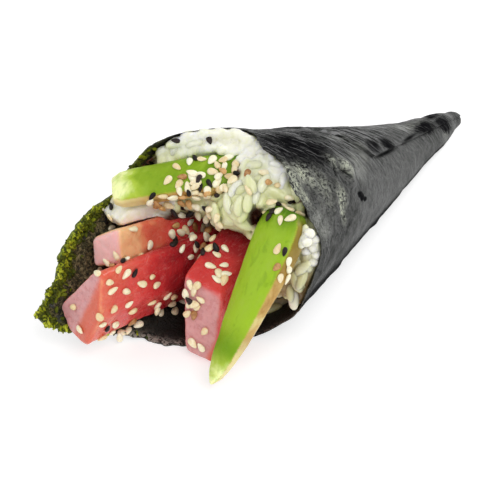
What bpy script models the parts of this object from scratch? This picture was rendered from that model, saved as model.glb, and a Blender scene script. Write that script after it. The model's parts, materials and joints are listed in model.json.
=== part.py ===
"""Temaki hand roll: a half sheet of nori wound into a cone around rice, tuna sticks and avocado slices.

The roll lies on its side.  Its tip points along +Y, its open mouth faces -Y and its corner flap lies at
the lower left of the mouth.  Everything is placed in the cone's own coordinates:
    u  to the roll's +X side,
    w  across the cone's axis, upwards,
    h  along the axis, from the cone's apex towards the mouth.
An azimuth runs round the axis from the underside (0 degrees) over the +X side (90) to the top (180).
Lengths are metres.
"""
import math

import bmesh
import bpy
from mathutils import Matrix, Vector, noise

MM = 0.001

# ---------------------------------------------------------------- the sheet and the cone it is wound into
SHEET_DEPTH = 105 * MM          # half sheet of nori, short side: apex to the opposite edge
CONE_HALF_ANGLE = math.radians(13.2)
UNDERSIDE_SINK = math.radians(0.6)   # how far the round underside is pressed flat by its own weight
RIM_LOW_AZIMUTH = 127.0         # where the mouth's rim is nearest to the tip; the corner lies opposite
TIP_START = 3.6 * MM            # the paper is twisted shut here, measured from the cone's apex
TIP_INNER = 13 * MM             # the inside of the paper ends here
TIP_SWELL = 1.3 * MM            # extra radius of the tightly wound point
TIP_SWELL_AT = 13 * MM
TIP_SWELL_REACH = 11 * MM
WAIST_DEPTH = 1.6 * MM          # the top sinks a little half way along
WAIST_AT = 45 * MM
WAIST_REACH = 26 * MM
WAIST_WIDTH = 60                # degrees to either side of the top
WALL = 0.7 * MM                 # the wound layers under the last turn
LAYER = 0.35 * MM               # the last turn of the sheet, which ends in a visible step
GAP = 0.3 * MM                  # clearance between touching pieces

SEAM_AZIMUTH = 136.0            # the sheet's outer edge lies along this straight line of the cone
SEAM_LENGTH = 63 * MM           # apex to the sheet's outer corner
CORNER_TURN = math.radians(23)  # how far that corner is from square to the seam
STEP_WIDTH = 0.5 * MM
SEAM_CLOSE = 359.0              # degrees round from the seam at which the next turn dips under it
SEAM_FADE = 300.0               # beyond the sheet's corner the last turn thins out from here

# Dips of the torn rim: azimuth, depth, width in degrees.
RIM_DIPS = (
    (-172, 8 * MM, 15),
    (20, 6 * MM, 24),
    (-20, 4 * MM, 14),
    (-50, -3.5 * MM, 11),
    (-76, -1.8 * MM, 10),
    (-98, 5 * MM, 6),
    (-114, 4 * MM, 14),
    (78, -4 * MM, 12),
    (134, -4 * MM, 9),
)

# ---------------------------------------------------------------- resolution
COLUMNS = 60
ROWS_TO_STEP = 9
ROWS_TO_RIM = 6
ROWS_INSIDE = 13
ROW_CROWDING = 1.15             # above 1 the rows lie closer together near the tip
RICE_COLUMNS = 48
RICE_WALL_ROWS = 9
RICE_FRONT_RINGS = 8

# ---------------------------------------------------------------- rice
MOUTH_LEVEL = 109.4 * MM        # the mouth's plane: height on the axis and its slopes across and up
MOUTH_SLOPE_U = -0.209
MOUTH_SLOPE_W = -0.188
RICE_START = 22 * MM            # rice reaches down the cone to here, from the apex
RICE_BELOW_RIM = 2.0 * MM
RICE_RECESS = 22 * MM           # the filling hides a hollow above the underside
RICE_RECESS_FROM = 4 * MM
RICE_RECESS_TO = -6 * MM
RICE_RECESS_LEFT = 6 * MM       # it starts lower at the far side
RICE_SIDE_FROM = 11 * MM        # beside the hollow the rice stays level with the rim
RICE_SIDE_TO = 15 * MM
RICE_SIDE_LOW = -9 * MM
RICE_SIDE_LOWEST = -16 * MM
# Heaps on the rice's front: u, w, height, radius.
RICE_HEAPS = (
    (9 * MM, 14 * MM, 6.5 * MM, 8.5 * MM),
    (4 * MM, 8 * MM, 3.0 * MM, 6 * MM),
    (21 * MM, 1 * MM, 5.0 * MM, 7 * MM),
    (-21 * MM, 2 * MM, 9.0 * MM, 7 * MM),
    (-10 * MM, 20 * MM, 1.5 * MM, 6 * MM),
)
RICE_LUMPS = 1.1 * MM
RICE_LUMP_SIZE = 4.5 * MM

# ---------------------------------------------------------------- tuna: each stick's outer end and its run
# (name, end centre u w h, yaw pitch roll, length, inner width, slant of the end cut, end corners in mm)
TUNA_STICKS = (
    (
        "tuna_upper",
        (-19.2 * MM, -4.6 * MM, 124.3 * MM),
        (10, 0, 20),
        40 * MM,
        0.95,
        0.0,
        ((-4.6, 2.3), (5.2, 4.8), (4.3, -3.2), (-5.2, -5.0)),
    ),
    (
        "tuna_lower",
        (-18.6 * MM, -15.6 * MM, 134.6 * MM),
        (12.5, 5.0, 0),
        38 * MM,
        0.64,
        0.0,
        ((-5.4, -2.3), (6.9, 12.5), (9.5, 12.7), (9.3, 0.7), (4.6, -8.4), (-1.6, -7.2)),
    ),
    (
        "tuna_right",
        (4.4 * MM, -15.8 * MM, 118.0 * MM),
        (-6, 25, 0),
        30 * MM,
        0.85,
        0.45,
        ((-5.7, 9.6), (4.6, 7.3), (5.1, -8.4), (-2.8, -8.6)),
    ),
)
TUNA_EDGE_RADIUS = 1.3 * MM
TUNA_END_ROUND = 0.7 * MM
TUNA_HEIGHT_SHARE = 0.45        # how much of its narrowing a stick also loses in height
TUNA_WAVE = 0.3 * MM
TUNA_WAVE_SIZE = 2.5 * MM

# ---------------------------------------------------------------- avocado slices
# Each is a crescent wedge: the spine's two ends u w h, how far its middle bows out u w h, the way its
# green side faces u w h, its width and thickness, and how blunt its two ends are.
AVOCADO_SLICES = (
    (
        "avocado_left",
        (-22.3 * MM, 7.4 * MM, 119.6 * MM),
        (5.0 * MM, 16.4 * MM, 98.5 * MM),
        (0.1 * MM, 1.2 * MM, 0.8 * MM),
        (0.10, 0.80, 0.60),
        9.5 * MM,
        7.0 * MM,
        (0.80, 0.75),
    ),
    (
        "avocado_right",
        (14.4 * MM, -24.8 * MM, 125.6 * MM),
        (15.3 * MM, 12.6 * MM, 105.6 * MM),
        (1.6 * MM, 1.3 * MM, 2.6 * MM),
        (-0.30, 0.45, 0.82),
        12.8 * MM,
        7.5 * MM,
        (0.0, 0.85),
    ),
)
SLICE_WIDEST = 0.80             # share of the length at which a slice reaches its full size
SLICE_TAPER = 0.45              # below 1 it swells fast behind a pointed end
SLICE_END_ROUND = 0.15          # share of the length over which its inner end rounds off again
SLICE_STATIONS = 18
SLICE_ARC_STEPS = 8
SLICE_POINT = 0.06              # relative size of a pointed end
SLICE_CAP = 0.8                 # relative size of the very last ring at either end
SLICE_CROWN = 0.34              # height of the round green back, as a share of the thickness
# The upright cut side, the thin inner edge and the slanting cut side: shares of the half width and
# of the thickness.
SLICE_CUT_SIDES = ((0.93, 0.42), (0.52, 0.78), (-0.30, 0.72), (-0.78, 0.30))


# ================================================================ helpers
def clear_scene():
    for old in list(bpy.data.objects):
        bpy.data.objects.remove(old, do_unlink=True)


def material(name, colour, roughness, metallic=0.0):
    mat = bpy.data.materials.new(name)
    mat.use_nodes = True
    shader = mat.node_tree.nodes["Principled BSDF"]
    shader.inputs["Base Color"].default_value = (*colour, 1.0)
    shader.inputs["Roughness"].default_value = roughness
    shader.inputs["Metallic"].default_value = metallic
    return mat


def add_object(name, points, faces, mat, sharp_degrees=40):
    mesh = bpy.data.meshes.new(name)
    mesh.from_pydata([tuple(p) for p in points], [], faces)
    # Flat triangles keep every cut exact where a four-sided face would be slightly twisted.
    shape = bmesh.new()
    shape.from_mesh(mesh)
    bmesh.ops.triangulate(shape, faces=shape.faces[:])
    shape.to_mesh(mesh)
    shape.free()
    mesh.materials.append(mat)
    mesh.shade_smooth()
    mesh.set_sharp_from_angle(angle=math.radians(sharp_degrees))
    obj = bpy.data.objects.new(name, mesh)
    bpy.context.scene.collection.objects.link(obj)
    return obj


def smoothstep(low, high, value):
    t = min(1.0, max(0.0, (value - low) / (high - low)))
    return t * t * (3 - 2 * t)


def bell(distance, reach):
    return math.exp(-((distance / reach) ** 2))


def turn_between(azimuth, other):
    """Signed degrees from other to azimuth, between -180 and 180."""
    return (azimuth - other + 180.0) % 360.0 - 180.0


def join_rings(rings, close_start=True, close_end=True):
    """Faces between equal rings of points, with a cap on either end."""
    count = len(rings[0])
    points = [p for ring in rings for p in ring]
    faces = []
    for row in range(len(rings) - 1):
        for i in range(count):
            j = (i + 1) % count
            a, b = row * count, (row + 1) * count
            faces.append((a + i, a + j, b + j, b + i))
    if close_start:
        faces.append(tuple(reversed(range(count))))
    if close_end:
        last = (len(rings) - 1) * count
        faces.append(tuple(range(last, last + count)))
    return points, faces


# ================================================================ the cone's own coordinates
AXIS_RISE = CONE_HALF_ANGLE - UNDERSIDE_SINK
TO_MOUTH = Vector((0.0, -math.cos(AXIS_RISE), math.sin(AXIS_RISE)))
TO_SIDE = Vector((1.0, 0.0, 0.0))
ACROSS_UP = Vector((0.0, math.sin(AXIS_RISE), math.cos(AXIS_RISE)))


def place(u, w, h):
    return u * TO_SIDE + w * ACROSS_UP + h * TO_MOUTH


def cone_radius(s, azimuth):
    """Inner radius of the wound paper at distance s from the apex along its surface."""
    radius = s * math.sin(CONE_HALF_ANGLE) - WALL
    radius += TIP_SWELL * bell(s - TIP_SWELL_AT, TIP_SWELL_REACH)
    top = bell(turn_between(azimuth, 180), WAIST_WIDTH)
    radius -= WAIST_DEPTH * top * bell(s - WAIST_AT, WAIST_REACH)
    return radius


def cone_point(s, azimuth, outwards, floor):
    """A point of the cone, moved outwards from the paper's inside, kept above the floor height."""
    angle = math.radians(azimuth)
    radius = cone_radius(s, azimuth) + outwards
    point = place(
        radius * math.sin(angle), -radius * math.cos(angle), s * math.cos(CONE_HALF_ANGLE)
    )
    point.z = max(point.z, floor)
    return point


def rim_distance(azimuth):
    """Apex to rim: the sheet's straight far edge, seen along the cone, with its dips."""
    turn = turn_between(azimuth, RIM_LOW_AZIMUTH)
    distance = SHEET_DEPTH / math.cos(math.radians(turn) * math.sin(CONE_HALF_ANGLE))
    for at, depth, width in RIM_DIPS:
        distance -= depth * bell(turn_between(azimuth, at), width)
    return distance


def step_distance(turn_from_seam, azimuth):
    """Apex to the edge of the sheet's last turn, which runs from the seam's end across to the rim."""
    limit = rim_distance(azimuth) - 3 * STEP_WIDTH
    sheet_turn = CORNER_TURN + math.radians(turn_from_seam) * math.sin(CONE_HALF_ANGLE)
    if sheet_turn > math.radians(75):
        return limit
    return min(limit, SEAM_LENGTH * math.cos(CORNER_TURN) / math.cos(sheet_turn))


# ================================================================ nori
def nori_outer_column(turn):
    """Points of the outside from tip to rim; turn counts degrees onwards from the seam."""
    azimuth = SEAM_AZIMUTH + turn
    step = step_distance(turn, azimuth)
    rim = rim_distance(azimuth)
    thick = WALL + LAYER * (1 - turn / 360)
    thin = thick - LAYER * (1 - smoothstep(SEAM_FADE, 360, turn))
    distances = []
    for row in range(ROWS_TO_STEP):
        part = (row / (ROWS_TO_STEP - 1)) ** ROW_CROWDING
        distances.append((TIP_START + (step - TIP_START) * part, thick))
    for row in range(ROWS_TO_RIM):
        part = row / (ROWS_TO_RIM - 1)
        start = step + STEP_WIDTH
        distances.append((start + (rim - start) * part, max(thin, WALL * 0.8)))
    return [cone_point(s, azimuth, out, 0.0) for s, out in distances]


def nori_inner_column(turn):
    azimuth = SEAM_AZIMUTH + turn
    rim = rim_distance(azimuth)
    column = []
    for row in range(ROWS_INSIDE):
        part = (row / (ROWS_INSIDE - 1)) ** ROW_CROWDING
        column.append(cone_point(TIP_INNER + (rim - TIP_INNER) * part, azimuth, 0.0, WALL))
    return column


def build_nori(mat):
    turns = [360 * i / COLUMNS for i in range(COLUMNS)] + [SEAM_CLOSE]
    outer = [nori_outer_column(t) for t in turns]
    inner = [nori_inner_column(t) for t in turns]
    rows_out, rows_in = len(outer[0]), len(inner[0])
    # One ring runs from the tip along the outside, over the rim and back down the inside.
    rings = [[column[row] for column in outer] for row in range(rows_out)]
    rings += [[column[row] for column in inner] for row in reversed(range(rows_in))]
    points, faces = join_rings(rings)
    return add_object("nori_wrap", points, faces, mat, 35)


# ================================================================ rice
def rice_front(u, w):
    """How far the rice reaches along the axis at a place across the mouth."""
    level = MOUTH_LEVEL + MOUTH_SLOPE_U * u + MOUTH_SLOPE_W * w - RICE_BELOW_RIM
    lower = RICE_RECESS_LEFT * smoothstep(-8 * MM, -20 * MM, u)
    hollow = smoothstep(RICE_RECESS_FROM - lower, RICE_RECESS_TO - lower, w)
    side = smoothstep(RICE_SIDE_FROM, RICE_SIDE_TO, u)
    side *= 1 - smoothstep(RICE_SIDE_LOW, RICE_SIDE_LOWEST, w)
    level -= RICE_RECESS * hollow * (1 - side)
    for at_u, at_w, height, reach in RICE_HEAPS:
        level += height * bell(math.hypot(u - at_u, w - at_w), reach)
    lump = noise.noise(Vector((u, w, 0.0)) / RICE_LUMP_SIZE)
    return level + RICE_LUMPS * lump


def rice_edge(azimuth):
    """Distance along the paper at which the rice's front meets it."""
    angle = math.radians(azimuth)
    s = SHEET_DEPTH
    for _ in range(30):
        radius = cone_radius(s, azimuth) - GAP
        front = rice_front(radius * math.sin(angle), -radius * math.cos(angle))
        s = 0.5 * s + 0.5 * front / math.cos(CONE_HALF_ANGLE)
    return min(s, rim_distance(azimuth) - 1.0 * MM)


def build_rice(mat):
    azimuths = [360 * i / RICE_COLUMNS for i in range(RICE_COLUMNS)]
    edges = [rice_edge(a) for a in azimuths]
    rings = []
    for row in range(RICE_WALL_ROWS):
        part = (row / (RICE_WALL_ROWS - 1)) ** 0.9
        ring = []
        for azimuth, edge in zip(azimuths, edges):
            s = RICE_START + (edge - RICE_START) * part
            ring.append(cone_point(s, azimuth, -GAP, WALL + GAP))
        rings.append(ring)
    for row in range(1, RICE_FRONT_RINGS):
        part = 1 - row / RICE_FRONT_RINGS
        ring = []
        for azimuth, edge in zip(azimuths, edges):
            angle = math.radians(azimuth)
            radius = (cone_radius(edge, azimuth) - GAP) * part
            u, w = radius * math.sin(angle), -radius * math.cos(angle)
            at_edge = edge * math.cos(CONE_HALF_ANGLE)
            blend = smoothstep(1.0, 0.75, part)
            point = place(u, w, at_edge + (rice_front(u, w) - at_edge) * blend)
            point.z = max(point.z, WALL + GAP)
            ring.append(point)
        rings.append(ring)
    points, faces = join_rings(rings, close_end=False)
    centre = len(points)
    points.append(place(0.0, 0.0, rice_front(0.0, 0.0)))
    last = centre - RICE_COLUMNS
    faces += [(last + i, last + (i + 1) % RICE_COLUMNS, centre) for i in range(RICE_COLUMNS)]
    return add_object("rice", points, faces, mat, 60)


# ================================================================ tuna
def stick_directions(yaw, pitch, roll):
    """Into the cone, across and up for a stick turned from the cone's axis."""
    turn = Matrix.Rotation(math.radians(-yaw), 3, ACROSS_UP) @ Matrix.Rotation(
        math.radians(pitch), 3, TO_SIDE
    )
    inwards = turn @ -TO_MOUTH
    spin = Matrix.Rotation(math.radians(roll), 3, -inwards)
    return inwards, spin @ turn @ TO_SIDE, spin @ turn @ ACROSS_UP


def rounded_outline(corners, radius, steps=3):
    """The corners of a section with each one rounded by a quadratic arc."""
    outline = []
    for i, corner in enumerate(corners):
        here = Vector(corner)
        before = Vector(corners[i - 1]) - here
        after = Vector(corners[(i + 1) % len(corners)]) - here
        before *= min(radius / before.length, 0.45)
        after *= min(radius / after.length, 0.45)
        for step in range(steps + 1):
            t = step / steps
            outline.append(here + before * (1 - t) ** 2 + after * t**2)
    return outline


def build_stick(name, end, angles, length, inner_width, slant, corners, mat, grow=0.0):
    inwards, across, up = stick_directions(*angles)
    start = place(*end)
    outline = rounded_outline([(x * MM, y * MM) for x, y in corners], TUNA_EDGE_RADIUS)
    runs = [-grow, TUNA_END_ROUND]
    runs += [length * part for part in (0.2, 0.4, 0.6, 0.8)]
    runs += [length - TUNA_END_ROUND, length + grow]
    rings = []
    for number, run in enumerate(runs):
        at_end = number in (0, len(runs) - 1)
        inset = TUNA_END_ROUND if at_end else 0.0
        depth = min(1.0, max(run, 0.0) / length)
        ring = []
        for point in outline:
            wave = TUNA_WAVE * math.sin(9 * depth + point.x / TUNA_WAVE_SIZE)
            size = point.length
            flat = point * ((size + wave * (0 if at_end else 1) - inset + grow) / size)
            flat.x *= 1 + (inner_width - 1) * depth
            flat.y *= 1 + (inner_width - 1) * depth * TUNA_HEIGHT_SHARE
            forward = run + slant * flat.y * (1 - depth)
            ring.append(start + inwards * forward + across * flat.x + up * flat.y)
        rings.append(ring)
    points, faces = join_rings(rings)
    return add_object(name, points, faces, mat, 50)


# ================================================================ avocado
def slice_size(t, blunt_start, blunt_end):
    """Relative size along a slice, 0 at a pointed end and 1 at the middle."""
    start = min(1.0, t / SLICE_WIDEST) ** SLICE_TAPER
    end = math.sin(math.pi / 2 * min(1.0, (1 - t) / SLICE_END_ROUND))
    start = blunt_start + (1 - blunt_start) * start
    end = blunt_end + (1 - blunt_end) * end
    return max(SLICE_POINT, start * end)


def build_slice(name, start, end, bow, facing, width, thickness, blunt, mat, grow=0.0):
    """A wedge whose outer side is a round green back and whose two cut sides meet in a thin edge."""
    a, b = place(*start), place(*end)
    along = (b - a).normalized()
    face = facing[0] * TO_SIDE + facing[1] * ACROSS_UP + facing[2] * TO_MOUTH
    face = (face - along * face.dot(along)).normalized()
    side = along.cross(face).normalized()
    rings = []
    for station in range(SLICE_STATIONS + 1):
        t = station / SLICE_STATIONS
        size = slice_size(t, *blunt)
        if station in (0, SLICE_STATIONS):
            size *= SLICE_CAP
        centre = a.lerp(b, t) + place(*bow) * (4 * t * (1 - t))
        if grow:
            centre += along * grow * (-1 if station == 0 else 1 if station == SLICE_STATIONS else 0)
        half, deep = width / 2 * size + grow, thickness * size + grow
        ring = []
        for step in range(SLICE_ARC_STEPS + 1):
            angle = math.pi * step / SLICE_ARC_STEPS
            across = -half * math.cos(angle)
            ring.append(centre + side * across + face * (SLICE_CROWN * deep * math.sin(angle) + grow))
        for across, depth in SLICE_CUT_SIDES:
            ring.append(centre + side * (half * across) - face * (deep * depth + grow))
        rings.append(ring)
    points, faces = join_rings(rings)
    return add_object(name, points, faces, mat, 45)


# ================================================================ joining it all
def cut_by(target, cutter):
    """Cuts a grown copy of a filling out of the rice; the copy itself isn't part of the roll."""
    cutter.hide_render = True
    cutter.display_type = "WIRE"
    boolean = target.modifiers.new(cutter.name, "BOOLEAN")
    boolean.operation = "DIFFERENCE"
    boolean.solver = "EXACT"
    boolean.object = cutter


def centre_on_floor(objects):
    """Moves the roll so that its box stands centred over the origin."""
    corners = [o.matrix_world @ v.co for o in objects for v in o.data.vertices]
    low = Vector([min(c[i] for c in corners) for i in range(3)])
    high = Vector([max(c[i] for c in corners) for i in range(3)])
    shift = Vector((-(low.x + high.x) / 2, -(low.y + high.y) / 2, -low.z))
    print("roll's box", low, high, "apex moved to", shift)
    return shift


def main():
    """Builds the roll and returns where its cone's apex ends up."""
    clear_scene()
    nori_dark = material("nori", (0.018, 0.024, 0.020), 0.42)
    rice_white = material("rice", (0.82, 0.83, 0.76), 0.45)
    tuna_red = material("tuna", (0.52, 0.055, 0.055), 0.32)
    avocado_green = material("avocado", (0.33, 0.52, 0.055), 0.38)

    shown = [build_nori(nori_dark), build_rice(rice_white)]
    rice = shown[1]
    cutters = []
    for stick in TUNA_STICKS:
        shown.append(build_stick(*stick, tuna_red))
        cutters.append(build_stick("room_for_" + stick[0], *stick[1:], tuna_red, grow=GAP))
    for piece in AVOCADO_SLICES:
        shown.append(build_slice(*piece, avocado_green))
        cutters.append(build_slice("room_for_" + piece[0], *piece[1:], avocado_green, grow=GAP))
    for cutter in cutters:
        cut_by(rice, cutter)

    shift = centre_on_floor(shown)
    for obj in shown + cutters:
        obj.data.transform(Matrix.Translation(shift))
    return shift


main()
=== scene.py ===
# %% [markdown]
# # A temaki hand roll
#
# A temaki is a half sheet of roasted nori wound into a cone round sushi rice and long pieces of
# filling.  This lesson finishes one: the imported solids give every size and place, and each piece here
# is the real thing's surface, built round them.  The roll lies on its side with its tip along +Y.

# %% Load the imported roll
import json
import math

import bmesh
import bpy
import numpy as np
from mathutils import Matrix, Vector, noise
from mathutils.bvhtree import BVHTree
from mathutils.kdtree import KDTree


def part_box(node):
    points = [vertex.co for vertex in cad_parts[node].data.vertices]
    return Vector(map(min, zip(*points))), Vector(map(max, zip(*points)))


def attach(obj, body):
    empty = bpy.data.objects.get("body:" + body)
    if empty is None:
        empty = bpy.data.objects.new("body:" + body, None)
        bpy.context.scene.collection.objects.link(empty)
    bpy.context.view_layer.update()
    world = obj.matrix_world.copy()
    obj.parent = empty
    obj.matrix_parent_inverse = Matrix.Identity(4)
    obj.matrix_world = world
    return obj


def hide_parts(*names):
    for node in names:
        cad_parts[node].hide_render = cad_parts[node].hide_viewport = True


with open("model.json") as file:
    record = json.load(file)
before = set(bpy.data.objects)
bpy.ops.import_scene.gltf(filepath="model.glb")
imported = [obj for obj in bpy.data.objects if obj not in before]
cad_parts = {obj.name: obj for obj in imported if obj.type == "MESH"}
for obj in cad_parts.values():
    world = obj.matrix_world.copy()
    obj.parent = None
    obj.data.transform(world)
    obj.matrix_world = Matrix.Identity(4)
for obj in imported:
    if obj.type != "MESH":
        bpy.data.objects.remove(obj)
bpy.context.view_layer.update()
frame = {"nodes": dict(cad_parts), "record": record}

MM = 0.001

# %% [markdown]
# ## The cone's own coordinates
#
# Everything on a hand roll follows its cone, so it is easiest to work in the cone's coordinates: u to
# the side, w across the axis upwards and h along the axis from the apex to the mouth.  An azimuth runs
# round the axis from the underside (0 degrees) over the +X side (90) to the top (180).  The apex is
# found from the frame: it lies over the line on which the roll rests, just past its blunt tip.

# %% Cone coordinates
HALF_ANGLE = math.radians(13.2)
AXIS_RISE = math.radians(12.6)
APEX_PAST_TIP = 3.1 * MM
TO_SIDE = np.array((1.0, 0.0, 0.0))
ACROSS_UP = np.array((0.0, math.sin(AXIS_RISE), math.cos(AXIS_RISE)))
TO_MOUTH = np.array((0.0, -math.cos(AXIS_RISE), math.sin(AXIS_RISE)))
rest_line = frame["record"]["mounts"][0]["pos_m"][0]
apex = np.array((rest_line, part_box("nori_wrap")[1].y + APEX_PAST_TIP, 0.0))


def place(u, w, h):
    """A point given in the cone's coordinates, in the frame."""
    return apex + np.multiply.outer(u, TO_SIDE) + np.multiply.outer(w, ACROSS_UP) + np.multiply.outer(h, TO_MOUTH)


def direction(u, w, h):
    """A unit vector given in the cone's coordinates."""
    vector = u * TO_SIDE + w * ACROSS_UP + h * TO_MOUTH
    return vector / np.linalg.norm(vector)


def bell(distance, reach):
    """1 at no distance, falling smoothly to 0 past the reach."""
    return np.exp(-((distance / reach) ** 2))


def ease(low, high, value):
    """0 below low, 1 above high, and a smooth rise between."""
    t = np.clip((value - low) / (high - low), 0.0, 1.0)
    return t * t * (3 - 2 * t)


def turn_between(azimuth, other):
    """Signed degrees from other to azimuth."""
    return (azimuth - other + 180.0) % 360.0 - 180.0


print("apex in mm:", np.round(apex / MM, 1))

MOUTH_LEVEL = 109.4 * MM
mouth_centre = place(0.0, 0.0, MOUTH_LEVEL)
# The mouth as seen from the front right and above: out of it, across it and up it.
MOUTH_OUT = direction(0.47, 0.45, 0.76)
MOUTH_ACROSS = direction(0.807, 0.129, -0.576)
MOUTH_UP = np.cross(MOUTH_OUT, MOUTH_ACROSS)

# %% [markdown]
# ## Small tools for node trees
#
# Both kinds of tree, for shapes and for materials, are long chains of small nodes.  Three helpers keep
# them readable: one adds a node and fills its sockets, one adds a sum, and one adds a colour ramp.

# %% Node helpers
def feed(tree, socket, value):
    if isinstance(value, bpy.types.NodeSocket):
        tree.links.new(value, socket)
    else:
        socket.default_value = value


def add_node(tree, kind, sockets=None, **settings):
    made = tree.nodes.new(kind)
    for name, value in settings.items():
        setattr(made, name, value)
    for name, value in (sockets or {}).items():
        feed(tree, made.inputs[name], value)
    return made


def calc(tree, operation, *values, clamp=False):
    """One step of arithmetic on numbers."""
    made = add_node(tree, "ShaderNodeMath", operation=operation, use_clamp=clamp)
    for number, value in enumerate(values):
        feed(tree, made.inputs[number], value)
    return made.outputs[0]


def vector_calc(tree, operation, *values):
    """One step of arithmetic on vectors; SCALE takes a vector and a number."""
    made = add_node(tree, "ShaderNodeVectorMath", operation=operation)
    sockets = [made.inputs[0], made.inputs["Scale"]] if operation == "SCALE" else made.inputs
    for socket, value in zip(sockets, values):
        feed(tree, socket, value)
    return made.outputs["Value"] if operation in ("DOT_PRODUCT", "LENGTH") else made.outputs[0]


def noise_at(tree, where, size, detail=2.0, roughness=0.5, distortion=0.0):
    """Soft random values whose lumps have about the given size in metres."""
    sockets = {"Scale": 1 / size, "Detail": detail, "Roughness": roughness, "Distortion": distortion}
    made = add_node(tree, "ShaderNodeTexNoise", sockets)
    feed(tree, made.inputs["Vector"], where)
    return made.outputs[0]


def ramp(tree, value, *stops):
    """A colour ramp with stops of (position, colour)."""
    made = add_node(tree, "ShaderNodeValToRGB")
    feed(tree, made.inputs[0], value)
    elements = made.color_ramp.elements
    while len(elements) < len(stops):
        elements.new(0.5)
    for element, (position, colour) in zip(elements, stops):
        element.position = position
        element.color = (*colour, 1.0)
    return made.outputs["Color"]


def remap(tree, value, low, high, new_low=0.0, new_high=1.0):
    """Stretches low..high to new_low..new_high, without going past either."""
    sockets = {"Value": value, "From Min": low, "From Max": high, "To Min": new_low, "To Max": new_high}
    return add_node(tree, "ShaderNodeMapRange", sockets, interpolation_type="SMOOTHSTEP").outputs[0]


def mix_colours(tree, share, first, second, blend="MIX"):
    made = add_node(tree, "ShaderNodeMix", data_type="RGBA", blend_type=blend)
    feed(tree, made.inputs[0], share)
    for socket, value in ((made.inputs[6], first), (made.inputs[7], second)):
        feed(tree, socket, value if isinstance(value, bpy.types.NodeSocket) else (*value, 1.0))
    return made.outputs[2]


def new_shape_tree(name, **inputs):
    """A Geometry Nodes tree with the given named inputs; returns it with its input and output nodes."""
    tree = bpy.data.node_groups.new(name, "GeometryNodeTree")
    tree.interface.new_socket("Geometry", in_out="INPUT", socket_type="NodeSocketGeometry")
    tree.interface.new_socket("Geometry", in_out="OUTPUT", socket_type="NodeSocketGeometry")
    for label, value in inputs.items():
        kind = "NodeSocketVector" if isinstance(value, tuple) else "NodeSocketFloat"
        if value is None:
            kind = "NodeSocketMaterial"
        if isinstance(value, int):
            kind = "NodeSocketInt"
        socket = tree.interface.new_socket(label, in_out="INPUT", socket_type=kind)
        if value is not None:
            socket.default_value = value
    return tree, tree.nodes.new("NodeGroupInput"), tree.nodes.new("NodeGroupOutput")


def run_tree(obj, tree, **inputs):
    """Gives obj the tree with its inputs set by identifier, and keeps the result as a plain mesh."""
    modifier = obj.modifiers.new(tree.name, "NODES")
    modifier.node_group = tree
    sockets = [s for s in tree.interface.items_tree if s.item_type == "SOCKET" and s.in_out == "INPUT"]
    for socket in sockets:
        if socket.name in inputs:
            modifier[socket.identifier] = inputs[socket.name]
    return settle(obj)


def settle(obj):
    """Replaces obj's mesh by what its modifiers make of it."""
    graph = bpy.context.evaluated_depsgraph_get()
    graph.update()
    mesh = bpy.data.meshes.new_from_object(
        obj.evaluated_get(graph), preserve_all_data_layers=True, depsgraph=graph
    )
    obj.modifiers.clear()
    obj.data = mesh
    return obj


# %% Mesh helpers
def add_piece(name, points, faces=()):
    mesh = bpy.data.meshes.new(name)
    mesh.from_pydata([tuple(p) for p in points], [], faces)
    obj = bpy.data.objects.new(name, mesh)
    bpy.context.scene.collection.objects.link(obj)
    return obj


def give(mesh, name, values):
    """Stores a number or a vector for every vertex, for the nodes to read."""
    values = np.asarray(values, dtype=np.float32)
    kind = "FLOAT_VECTOR" if values.ndim == 2 else "FLOAT"
    made = mesh.attributes.new(name, kind, "POINT")
    made.data.foreach_set("vector" if values.ndim == 2 else "value", values.ravel())


def points_of(mesh):
    points = np.zeros(len(mesh.vertices) * 3)
    mesh.vertices.foreach_get("co", points)
    return points.reshape(-1, 3)


def normals_of(mesh):
    normals = np.zeros(len(mesh.vertices) * 3)
    mesh.vertex_normals.foreach_get("vector", normals)
    return normals.reshape(-1, 3)


def move_points(mesh, points):
    mesh.vertices.foreach_set("co", np.asarray(points, dtype=np.float32).ravel())
    mesh.update()


def closed_copy(node_name, piece_name):
    """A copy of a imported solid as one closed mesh, for a finer surface."""
    shape = bmesh.new()
    shape.from_mesh(frame["nodes"][node_name].data)
    bmesh.ops.remove_doubles(shape, verts=shape.verts[:], dist=0.001 * MM)
    mesh = bpy.data.meshes.new(piece_name)
    shape.to_mesh(mesh)
    shape.free()
    obj = bpy.data.objects.new(piece_name, mesh)
    bpy.context.scene.collection.objects.link(obj)
    return obj


def remeshed(obj, voxel, smoothing):
    """Covers obj in small even faces and takes the facets off."""
    remesh = obj.modifiers.new("even_faces", "REMESH")
    remesh.mode = "VOXEL"
    remesh.voxel_size = voxel
    smooth = obj.modifiers.new("no_facets", "SMOOTH")
    smooth.factor = 0.5
    smooth.iterations = smoothing
    return settle(obj)


def soft_noise(points, size, seed=0.0):
    """Noise between about -1 and 1 at each point."""
    shift = Vector((seed, 2 * seed, 3 * seed))
    return np.array([noise.noise(Vector(p) / size + shift) for p in points])


def finish_piece(obj, slot_name, *nodes):
    obj.data.shade_smooth()
    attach(obj, "root")
    if nodes:
        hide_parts(*nodes)
    print(obj.name, "faces:", len(obj.data.polygons))
    return obj


# %% [markdown]
# ## The camera
#
# A telephoto lens looks down on the mouth from the front right, about a third of the way up.

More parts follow.
